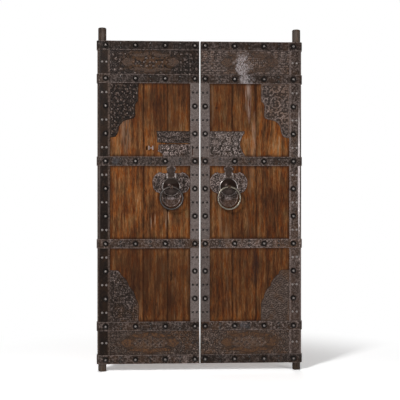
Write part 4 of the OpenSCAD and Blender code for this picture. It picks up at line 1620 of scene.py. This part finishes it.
# Dark colour of soot, cracks and knots, also used for painted shade and a painted shadow.
SOOT_AND_SHADE = (0.010, 0.0050, 0.0030)
GREY_WORN = (0.190, 0.1250, 0.0850)
PALE_IRON = (0.150, 0.1220, 0.1150)
DUSKY = (0.030, 0.0100, 0.0035)
RUST = (0.150, 0.0650, 0.0230)
RUST_DUST = (0.110, 0.0530, 0.0240)
PANEL_BACK = (0.040, 0.0265, 0.0205)
PANEL_GRIME = (0.014, 0.0095, 0.0075)
PANEL_GRIT = (0.120, 0.0900, 0.0760)

# Stains, in door coordinates: place, half sizes, colour, strength, ragged, broken, grain and soft

BROAD = (14.0, 14.0, 3.0)
SPECKLED = (130.0, 130.0, 100.0)
STREAKY = (110.0, 110.0, 7.0)
BRUSHED = (150.0, 150.0, 9.0)
BLOTCHED = (45.0, 45.0, 45.0)
MEETING_X = 33.0
STILE_X = 617.0
MID_Z = 1115.0
STRAP_3_Z = 1365.0
BOTH_WAYS = (-1.0, 1.0)

DARK_BAYS = tuple(
    Stain(x, z, half_x, half_z, DUSKY, strength, 0.4, 0.4, BROAD)
    for x, z, half_x, half_z, strength in (
        (-330.0, 610.0, 460.0, 350.0, 0.78), (330.0, 640.0, 460.0, 400.0, 0.52),
        (-230.0, 1720.0, 340.0, 300.0, 0.62), (230.0, 1740.0, 380.0, 300.0, 0.52),
        (330.0, 1080.0, 420.0, 330.0, 0.38),
    )
)
DULL_FOOT = Stain(0.0, 186.0, 2000.0, 300.0, (0.055, 0.0400, 0.0320), 0.85, 0.0, 0.3)
LIME_ON_PANEL = Stain(275.0, 1985.0, 62.0, 110.0, LIME, 0.9, 1.1, 0.85, SPECKLED)
LIME_ON_STRAP = Stain(305.0, 1895.0, 52.0, 60.0, LIME, 0.8, 1.1, 0.85, SPECKLED)
LIME_RUN = Stain(318.0, 1790.0, 26.0, 190.0, (0.330, 0.2350, 0.1900), 0.75, 0.9, 0.95, STREAKY)
LIME_RUN_LOW = Stain(352.0, 1540.0, 18.0, 170.0, (0.290, 0.1750, 0.1200), 0.7, 0.9, 0.8, STREAKY)
WORN_LEFT = Stain(-490.0, 1610.0, 52.0, 250.0, GREY_WORN, 0.55, 1.0, 0.9, STREAKY)
CRACK_LEFT = Stain(-187.0, 620.0, 11.0, 48.0, SOOT_AND_SHADE, 0.85, 0.8)
KNOT_RIGHT = Stain(108.0, 1712.0, 16.0, 12.0, SOOT_AND_SHADE, 0.7, 0.6)
DARK_RIGHT = Stain(362.0, 690.0, 30.0, 150.0, (0.024, 0.0105, 0.0080), 0.75, 0.9)
SCRATCHES = tuple(
    Stain(x, z, 4.0, tall, (0.340, 0.2300, 0.1500), 0.75, 0.5, 0.5, STREAKY)
    for x, z, tall in (
        (-222.0, 965.0, 60.0), (-318.0, 965.0, 55.0), (-292.0, 985.0, 50.0), (-205.0, 1010.0, 45.0),
    )
)
WOOD_MARKS = (LIME_RUN, LIME_RUN_LOW, KNOT_RIGHT, DARK_RIGHT, WORN_LEFT, CRACK_LEFT, *SCRATCHES)

# Middle of each panel, with the rust on it, the rust behind it and the grit behind it
PANEL_PLACES = (
    (-330.0, 2008.5, 0.5, 0.27, 0.85), (-330.0, 186.5, 0.4, 0.85, 0.4),
    (330.0, 2008.5, 0.35, 0.40, 0.85), (330.0, 186.5, 0.45, 0.75, 0.4),
)
BEHIND_PANELS = tuple(
    Stain(x, z, 330.0, 90.0, colour, strength, 0.1, broken, (often, often, often), 0.15)
    for x, z, _, rusty, gritty in PANEL_PLACES
    for colour, strength, broken, often in (
        (PANEL_BACK, 0.95, 0.2, 65.0), (RUST, rusty, 1.0, 65.0),
        (PANEL_GRIME, gritty, 1.0, 120.0), (PANEL_GRIT, 0.6 * gritty, 1.0, 170.0),
    )
)
RUST_ROUND = tuple(
    Stain(x, z, 250.0, 105.0, RUST_DUST, rusty, 0.4, 1.0, BLOTCHED) for x, z, rusty, _, _ in PANEL_PLACES
)

# Painted glints: pale colour on the small nails of the stiles.
STILE_NAIL_GLINTS = tuple(
    Stain(way * STILE_X, MID_Z, 52.0, 1500.0, (0.260, 0.2250, 0.2100), 0.85, 0.0, 0.0, soft=0.1)
    for way in BOTH_WAYS
)
DARK_RIVETS = tuple(
    Stain(way * MEETING_X, MID_Z, 34.0, 1400.0, SOOT_AND_SHADE, 0.92, 0.0, 0.0, soft=0.1) for way in BOTH_WAYS
)
PALE_MEETING = Stain(
    -MEETING_X, 700.0, 90.0, 620.0, (0.200, 0.1650, 0.1560), 0.5, 0.6, 0.9, (45.0, 45.0, 30.0),
)
BROWN_MEETING = Stain(MEETING_X, 560.0, 90.0, 480.0, (0.055, 0.0390, 0.0330), 0.5, 0.5, 0.6, SPECKLED)
BROWN_STILE = Stain(STILE_X, 380.0, 80.0, 620.0, (0.050, 0.0310, 0.0240), 0.5, 0.3, 0.5, SPECKLED)
# Painted highlight along the right stile's rounded outer edge and painted shade just outside it, and a paler
# painted highlight along the left stile's outer edge.
STILE_EDGE_HIGHLIGHT = Stain(648.0, 1290.0, 8.0, 520.0, (0.640, 0.5700, 0.5600), 1.0, 0.1, 0.35, BRUSHED, 0.5)
STILE_EDGE_SHADE = Stain(660.0, 1290.0, 5.0, 520.0, SOOT_AND_SHADE, 0.85, 0.1, 0.2, BRUSHED, 0.5)
LEFT_EDGE_HIGHLIGHT = Stain(-651.0, 1150.0, 7.0, 560.0, (0.120, 0.0940, 0.0860), 0.6, 0.3, 0.5, BRUSHED)
RUBBED_NEAR_LOCK = tuple(
    Stain(way * 120.0, STRAP_3_Z, 150.0, 60.0, PALE_IRON, 0.45, 1.0) for way in BOTH_WAYS
)
BLUE_LEFT = Stain(-545.0, STRAP_3_Z, 30.0, 34.0, BLUE_SKIN, 0.55, 0.9)
BLUE_RIGHT = Stain(290.0, 294.0, 45.0, 32.0, BLUE_SKIN, 0.6, 0.9)

# Stains on the straps, by the strap's number from the top
STRAP_STAINS = {2: (LIME_ON_STRAP,), 3: (*RUBBED_NEAR_LOCK, BLUE_LEFT), 5: (BLUE_RIGHT,)}
STRAP_TONES = {
    Side.LEFT: (0.32, 0.49, 0.66, 0.88, 0.71, 0.86),
    Side.RIGHT: (0.6, 0.73, 0.76, 1.34, 0.95, 0.49),
}

# The two leaves


@dataclass
class Leaf:
    """One leaf: its wood, its straps and sheets, its plates and its fittings.

    Attributes:
        frame: Where the leaf stands.
        nodes: The frame's objects by name.
        strap_tones: Tone of each strap from the top.
        nail_gap: Distance within which points of the nails belong to one nail.
    """

    frame: LeafFrame
    nodes: dict[str, bpy.types.Object]
    strap_tones: tuple[float, ...]
    nail_gap: float = 40.0

    @property
    def right(self) -> bool:
        """True on the right leaf."""
        return self.frame.side is Side.RIGHT

    def _dress(self, part: str, material: bpy.types.Material) -> None:
        """Gives a node its finish.

        Args:
            part: Name of the node, without the side.
            material: Its material.
        """
        piece = self.nodes[self.frame.side.node(part)]
        dress(piece, material)
        LOG.info("%s: %s", piece.name, material.name)

    def _centre(self, part: str) -> tuple[float, float]:
        """Middle of one of the leaf's nodes, as x and z in the door."""
        box = self.frame.extent(part)
        return self.frame.x_at(box.mid_u), box.mid_z

    def _own(self, *stains: Stain) -> tuple[Stain, ...]:
        """The stains whose middle lies on this leaf."""
        return tuple(stain for stain in stains if stain.x * self.frame.side.along < 0.0)

    def _nails(self, part: str) -> tuple[tuple[float, float], ...]:
        """Places of the dome nails that stand on a node, as x and z of the middles of their boxes.

        Args:
            part: Name of the node, without the side.

        Returns:
            The places in door coordinates.
        """
        mesh = self.nodes[self.frame.side.node("dome_nails")].data
        points = np.empty(3 * len(mesh.vertices), dtype=np.float32)
        mesh.vertices.foreach_get("co", points)
        points = points.reshape(-1, 3)[:, [0, 2]] / MM
        low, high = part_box(self.frame.side.node(part))
        places = []
        while len(points):
            near = np.hypot(*(points - points[0]).T) < self.nail_gap
            x, z = (points[near].min(axis=0) + points[near].max(axis=0)) / 2
            if low.x < x * MM < high.x and low.z < z * MM < high.z:
                places.append((float(x), float(z)))
            points = points[~near]
        return tuple(places)

    def dress_wood(self) -> None:
        """Boards with a grain of their own each, the stile and the back battens."""
        side, at = self.frame.side.value, self.frame.x_at
        x, z = self._centre("ring")
        # Painted shadow of the ring on the wood round it.
        ring_shadow = Stain(x, z, 106.0, 106.0, SOOT_AND_SHADE, 0.45 if self.right else 0.8, 0.15, 0.2, soft=0.3)
        stains = self._own(*DARK_BAYS, ring_shadow, *WOOD_MARKS, *BEHIND_PANELS, LIME_ON_PANEL)
        straps = [self.frame.extent(f"strap_{k}") for k, _ in enumerate(self.strap_tones, start=1)]
        sheets = [self.frame.extent(part) for part in ("stile", "meeting_strap")]
        rows = tuple((box.mid_z, box.height / 2) for box in straps)
        columns = tuple((at(box.mid_u), box.width / 2) for box in sheets)
        seams = tuple(at(self.frame.extent(f"board_{i}").u1) for i in (1, 2))
        for i in (1, 2, 3):
            finish = WoodFinish(
                f"{side}_board_{i}_wood", seed=i * 2.3 + (7.0 if self.right else 0.0),
                rows=rows, columns=columns, seams=seams, stains=stains,
            )
            self._dress(f"board_{i}", finish.build())
        post = WoodFinish(f"{side}_post_wood", seed=11.0, **POST_WOOD)
        self._dress("stile", post.build())
        batten = WoodFinish(f"{side}_batten_wood", grain=(0.075, 1.0, 1.0), seed=5.0)
        self._dress("battens", batten.build())

    def dress_straps(self) -> None:
        """Six straps, each with a tone of its own, and the sheet on the stile."""
        side = self.frame.side.value
        for k, tone in enumerate(self.strap_tones, start=1):
            box = self.frame.extent(f"strap_{k}")
            # Long edges lightened as wear and painted highlight; painted shade round the nails.
            finish = IronFinish(
                f"{side}_strap_{k}_iron", tone, 0.45, 0.35, seed=k + 10.0 * self.right,
                edges=(2, box.mid_z, box.height / 2, 5.0), stains=self._own(*STRAP_STAINS.get(k, ())),
                nails=self._nails(f"strap_{k}"),
            )
            self._dress(f"strap_{k}", finish.build())
        sheet = (0.85, 0.5, 0.4) if self.right else (0.3, 0.25, 0.5)
        box = self.frame.extent("stile_sheet")
        # The right stile's long edges are lightened more, partly as painted highlight, and it carries the
        # painted highlight and shade of its outer edge.
        finish = IronFinish(
            f"{side}_stile_iron", *sheet, grit=90.0, rough=0.36, seed=21.0, bump_m=0.0004,
            edges=(0, self.frame.x_at(box.mid_u), box.width / 2, 16.0), edge_wear=1.0 if self.right else 0.4,
            stains=self._own(BROWN_STILE, STILE_EDGE_HIGHLIGHT, STILE_EDGE_SHADE, LEFT_EDGE_HIGHLIGHT),
            nails=self._nails("stile_sheet"), **({} if self.right else BROWN_IRON),
        )
        self._dress("stile_sheet", finish.build())

    def _pull_stains(self) -> tuple[Stain, ...]:
        """Dark tongue and knob, painted highlight on two ribs, and behind the ring a rusty part and a worn
        band with painted highlight.
        """
        x, z = self._centre("boss")
        # Painted highlight along the ribs beside the tongue.
        ribs = (
            Stain(x + way * 27.0, z + 76.0, 7.0, 38.0, (0.480, 0.4250, 0.4050), 0.9, 0.9, 0.9, SPECKLED)
            for way in BOTH_WAYS
        )
        tongue = Stain(x, z + 98.0, 23.0, 44.0, (0.030, 0.0195, 0.0150), 0.95, 0.1, 0.1, soft=0.25)
        lobe = Stain(x, z - 104.0, 66.0, 44.0, (0.085, 0.0470, 0.0330), 0.8, 0.5, 0.5)
        # Pale band where the ring rests: wear from the ring and a painted highlight.
        rubbed = Stain(x, z - 74.0, 36.0, 13.0, (0.260, 0.2150, 0.2100), 0.75, 0.7, 0.7)
        return *ribs, tongue, lobe, rubbed

    def _boss_stains(self) -> tuple[Stain, ...]:
        """Dark dome inside the bead, a dull bead behind the ring, and painted shade over its top under the
        tongue.
        """
        x, z = self._centre("boss")
        dome = Stain(x, z, 55.0, 55.0, (0.024, 0.0135, 0.0105), 1.0, 0.0, 0.0, soft=0.08)
        below = Stain(x, z - 54.0, 78.0, 46.0, (0.060, 0.0440, 0.0385), 0.95, 0.2, 0.3, soft=0.25)
        # Painted shade over the bead's top, which hides the key lamp's glint there and leaves its sides
        # bright.
        reach = 96.0 if self.right else 70.0
        above = Stain(x, z + reach, 140.0, 54.0, (0.040, 0.0290, 0.0240), 0.95, 0.1, 0.1, soft=0.2)
        return dome, below, above

    def _embossed(
        self, part: str, tone: float, bare: float, rust: float,
        colours: dict[str, Colour] | None = None, stains: tuple[Stain, ...] = (),
    ) -> IronFinish:
        """Finish of an embossed plate.

        Args:
            part: Name of the plate.
            tone: Brightness of its skin.
            bare: How much of the skin is rubbed.
            rust: How much rust shows.
            colours: Colours that differ from those of the common iron.
            stains: Patches laid over it.

        Returns:
            The finish.
        """
        return IronFinish(
            f"{self.frame.side.value}_{part}_iron", tone, bare, rust, embossed=True,
            seed=len(part) + 9.0 * self.right, bump_m=0.0006, stains=stains, **(colours or {}),
        )

    def plates(self) -> list[EmbossedPlate]:
        """The embossed plates of this leaf."""
        f, r, iron = self.frame, self.right, self._embossed
        rust, pull_stains = self._own(*RUST_ROUND), self._pull_stains()
        pale = PALE_DULL_IRON if r else None
        top = iron("top_panel", 1.66 if r else 0.58, 0.45, 0.35, pale, rust + self._own(LIME_ON_PANEL))
        bottom = iron("bottom_panel", 1.5 if r else 1.25, 0.42, 0.6, DULL_IRON, rust)
        upper = iron("upper_corner", 1.62 if r else 0.42, 0.45, 0.3, pale or BROWN_IRON)
        lower = iron("lower_corner", 1.06 if r else 0.96, 0.42, 0.55, DULL_IRON if r else None)
        lock = iron("lock", 1.32 if r else 1.0, 0.5, 0.25, GREY_IRON if r else WORN_IRON)
        worn_lock = iron("worn_lock", 0.75, 0.45, 0.3)
        pull = iron("pull_plate", 0.98 if r else 0.86, 0.5, 0.3, WORN_IRON, pull_stains)
        strap = IronFinish(
            f"{f.side.value}_meeting_iron", 1.06 if r else 1.12, 0.55, 0.15, seed=14.0 + r, bump_m=0.0006,
            stains=self._own(BROWN_MEETING, PALE_MEETING), nails=self._nails("meeting_strap"),
            **SMOOTH_IRON,
        )
        made: list[EmbossedPlate] = [
            PanelPlate(f, "top_panel", top, Emboss.DASHED if r else Emboss.STUDDED, seed=1.0 + r),
            PanelPlate(f, "bottom_panel", bottom, Emboss.LATTICE, seed=3.0 + r),
            CornerPlate(
                f, "upper_corner", upper, Emboss.SCROLLED if r else Emboss.STUDDED, seed=5.0 + r,
                shape=UPPER_SHAPE, upper=True, curls=CORNER_CURLS,
            ),
            CornerPlate(
                f, "lower_corner", lower, Emboss.WAVED if r else Emboss.DENSE, seed=7.0 + r,
                shape=LOWER_SHAPE, upper=False,
            ),
            PullPlate(f, "pull_plate", pull, Emboss.SCROLLED, seed=9.0 + r, wing=WING_SHAPE),
            MeetingStrap(
                f, "meeting_strap", strap, Emboss.DENSE, thickness=2.5, pitch=2.6, seed=11.0 + r,
                slot="sheets", lock_part="" if r else "lock_lower",
            ),
        ]
        whole = (("lock_plate", lock, LOCK_WHOLE),)
        split = (("lock_upper", worn_lock, LOCK_UPPER), ("lock_lower", lock, LOCK_LOWER))
        made.extend(
            LockPlate(f, part, finish, Emboss.SCROLLED, seed=13.0 + len(part), shape=shape)
            for part, finish, shape in (whole if r else split)
        )
        return made

    def _forged(self, name: str, *wear: float, **others: Any) -> bpy.types.Material:
        """Material of a small smooth fitting.

        Args:
            name: Name of the fitting.
            wear: Tone, bare share, rust, grit and roughness of its finish.
            others: Further fields of its finish.

        Returns:
            The material.
        """
        common = {"metallic": 0.06, "bump_m": 0.0002, "skin": FORGED_SKIN, "specular": 0.4}
        return IronFinish(f"{self.frame.side.value}_{name}_iron", *wear, **{**common, **others}).build()

    def dress_fittings(self) -> None:
        """Nails, studs, boss, eye, ring and the small lock pieces."""
        side = self.frame.side
        nail = self._forged(
            "nail", 1.0, 0.9, 0.15, 150.0, 0.34, crown=(0.84, 0.99), seed=2.0, metal=NAIL_CROWN,
            specular=0.2,
        )
        small = self._forged(
            "small_nail", 0.75, 0.7, 0.15, 40.0, 0.28, crown=(0.80, 0.99), seed=3.0, metal=SMALL_CROWN,
            stains=self._own(*STILE_NAIL_GLINTS, *DARK_RIVETS),
        )
        stud = self._forged(
            "stud", 0.9, 0.7, 0.2, 24.0, 0.32, crown=(0.55, 0.97), seed=4.0, metal=STUD_CROWN, specular=0.2,
            stains=(DULL_FOOT,),
        )
        boss = self._forged(
            "boss", 1.0, 0.85, 0.2, 90.0, 0.34, crown=(0.55, 0.97), seed=5.0, metal=BEAD_CROWN,
            stains=self._boss_stains(), metallic=0.5, specular=0.12,
        )
        ring = self._forged(
            "ring", 1.0, 0.75, 0.3, 110.0, 0.34, crown=RING_SHADE_AND_CREST[side], seed=6.0, metal=RING_CROWNS[side],
            metallic=1.0,
        )
        washer = IronFinish(f"{side.value}_washer_iron", 0.8, 0.5, 0.45, seed=9.0).build()
        for part, material, slot in (
            ("dome_nails", nail, "nails"), ("small_nails", small, "nails"), ("studs", stud, "nails"),
            ("boss", boss, "bosses"), ("washer", washer, "bosses"),
            ("eye", washer, "rings"), ("ring", ring, "rings"),
        ):
            self._dress(part, material)
        if self.right:
            flap = IronFinish("right_flap_iron", 0.85, 0.65, 0.2, 90.0, seed=8.0).build()
            self._dress("lock_flap", flap)
        else:
            staple = IronFinish("left_staple_iron", 1.7, 0.75, 0.2, seed=8.0).build()
            self._dress("staple", staple)

    def make(self) -> None:
        """Builds and dresses the leaf."""
        self.dress_wood()
        self.dress_straps()
        for plate in self.plates():
            plate.make()
        self.dress_fittings()


# The stage


@dataclass(frozen=True)
class SoftBox:
    """A rectangular lamp.

    Attributes:
        name: Name of the lamp.
        place_m: Its place.
        size_m: Its width and height.
        power: Its power in watts.
    """

    name: str
    place_m: Triple
    size_m: tuple[float, float]
    power: float


@dataclass(frozen=True)
class Studio:
    """Plain pale floor, white backdrop, soft boxes and the camera.

    Attributes:
        eye_m: Place of the camera.
        aim_m: Point in the middle of the picture.
        lens: Focal length of the camera.
        fill: Brightness of the room.
        floor_tone: Colour of the floor in the light that it throws back on the door.
        floor_white: Colour of the floor where it is seen, which lifts it to white.
        floor_half_m: Half the side of the floor.
        even_from_m: Distance from the door where the floor begins to turn evenly white.
        even_to_m: Distance where it is evenly white.
        boxes: The lamps.
    """

    eye_m: Triple = (-0.28, -5.49, 1.113)
    aim_m: Triple = (0.0, 0.0, 1.113)
    lens: float = 76.0
    fill: float = 0.20
    floor_tone: float = 0.9
    floor_white: float = 1.8
    floor_half_m: float = 40.0
    even_from_m: float = 0.9
    even_to_m: float = 2.0
    boxes: tuple[SoftBox, ...] = (
        SoftBox("key_box", (-2.4, -3.7, 3.3), (0.8, 1.0), 160.0),
        SoftBox("fill_box", (3.0, -3.0, 1.1), (0.6, 1.4), 45.0),
        SoftBox("rear_box", (0.8, 4.6, 1.0), (1.6, 1.6), 80.0),
    )

    def _seen(self, tree: Tree, mirrored: Any = 1.0) -> Value:
        """One on rays that show the background: straight from the camera, mirrored or let through.

        Args:
            tree: Tree to add to.
            mirrored: Share of the background that a mirrored ray shows.

        Returns:
            The share.
        """
        path = tree.add("ShaderNodeLightPath").outputs
        camera, glossy = Value(tree, path["Is Camera Ray"]), Value(tree, path["Is Glossy Ray"])
        return camera.highest(glossy * mirrored).highest(Value(tree, path["Is Transmission Ray"]))

    def build_world(self) -> None:
        """A dim room that is seen as white, and mirrored as white only behind the door."""
        world = bpy.data.worlds.new("studio")
        bpy.context.scene.world = world
        tree = Tree(world)
        way = tree.split(tree.add("ShaderNodeTexCoord").outputs["Generated"])
        behind = way[1].band(0.1, 0.7)
        plain = {"Color": (1.0, 1.0, 1.0, 1.0)}
        dim, white = (
            tree.add("ShaderNodeBackground", None, {**plain, "Strength": strength}).outputs[0]
            for strength in (self.fill, 1.0)
        )
        room = tree.add("ShaderNodeMixShader", None, {0: self._seen(tree, behind), 1: dim, 2: white})
        tree.add("ShaderNodeOutputWorld", None, {"Surface": room.outputs[0]})

    def build_floor(self) -> None:
        """Matt floor that keeps the shadow near the door and is evenly white further off."""
        half = self.floor_half_m
        mesh = bpy.data.meshes.new("floor")
        corners = [(-half, -half, 0.0), (half, -half, 0.0), (half, half, 0.0), (-half, half, 0.0)]
        mesh.from_pydata(corners, [], [(0, 1, 2, 3)])
        floor = bpy.data.objects.new("floor", mesh)
        bpy.context.scene.collection.objects.link(floor)
        tree, material = Tree.material("pale_floor")
        x, y, _ = tree.axes()
        far = ((x * x + y * y) ** 0.5).band(self.even_from_m, self.even_to_m)
        seen = self._seen(tree)
        tones = [(tone, tone, tone, 1.0) for tone in (self.floor_tone, self.floor_white)]
        matt, pale = (tree.add("ShaderNodeBsdfDiffuse", None, {"Color": tone}).outputs[0] for tone in tones)
        near = tree.add("ShaderNodeMixShader", None, {0: seen, 1: matt, 2: pale}).outputs[0]
        white = tree.add("ShaderNodeEmission", None, {"Strength": 1.0}).outputs[0]
        shader = tree.add("ShaderNodeMixShader", None, {0: far * seen, 1: near, 2: white})
        tree.add("ShaderNodeOutputMaterial", None, {"Surface": shader.outputs[0]})
        floor.data.materials.append(material)

    def _aimed(self, name: str, data: bpy.types.ID, place_m: Triple) -> bpy.types.Object:
        """Adds a lamp or a camera that looks from its place to the aim.

        Args:
            name: Name of the object.
            data: The lamp or the camera.
            place_m: Its place.

        Returns:
            The object.
        """
        holder = bpy.data.objects.new(name, data)
        holder.location = place_m
        way = Vector(self.aim_m) - Vector(place_m)
        holder.rotation_euler = way.to_track_quat("-Z", "Y").to_euler()
        bpy.context.scene.collection.objects.link(holder)
        return holder

    def build_lamps(self) -> None:
        """A high key box at the front left, a fill box at the front right and a low one behind."""
        for box in self.boxes:
            lamp = bpy.data.lights.new(box.name, "AREA")
            lamp.shape = "RECTANGLE"
            lamp.size, lamp.size_y = box.size_m
            lamp.energy = box.power
            self._aimed(box.name, lamp, box.place_m)

    def build_camera(self) -> None:
        """Level camera a little left of the door's middle."""
        camera = bpy.data.cameras.new("camera")
        camera.lens = self.lens
        bpy.context.scene.camera = self._aimed("camera", camera, self.eye_m)

    def make(self) -> None:
        """Builds the whole stage."""
        bpy.context.scene.view_settings.view_transform = "Standard"
        self.build_world()
        self.build_floor()
        self.build_lamps()
        self.build_camera()
        LOG.info("stage: floor, %d soft boxes and camera", len(self.boxes))


def main() -> None:
    """Loads the frame, dresses both leaves and sets the stage."""
    logging.basicConfig(level=logging.INFO, format="%(name)s: %(message)s")
    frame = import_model()
    for side in Side:
        Leaf(LeafFrame.read(side), frame["nodes"], STRAP_TONES[side]).make()
    Studio().make()


if __name__ == "__main__":
    main()
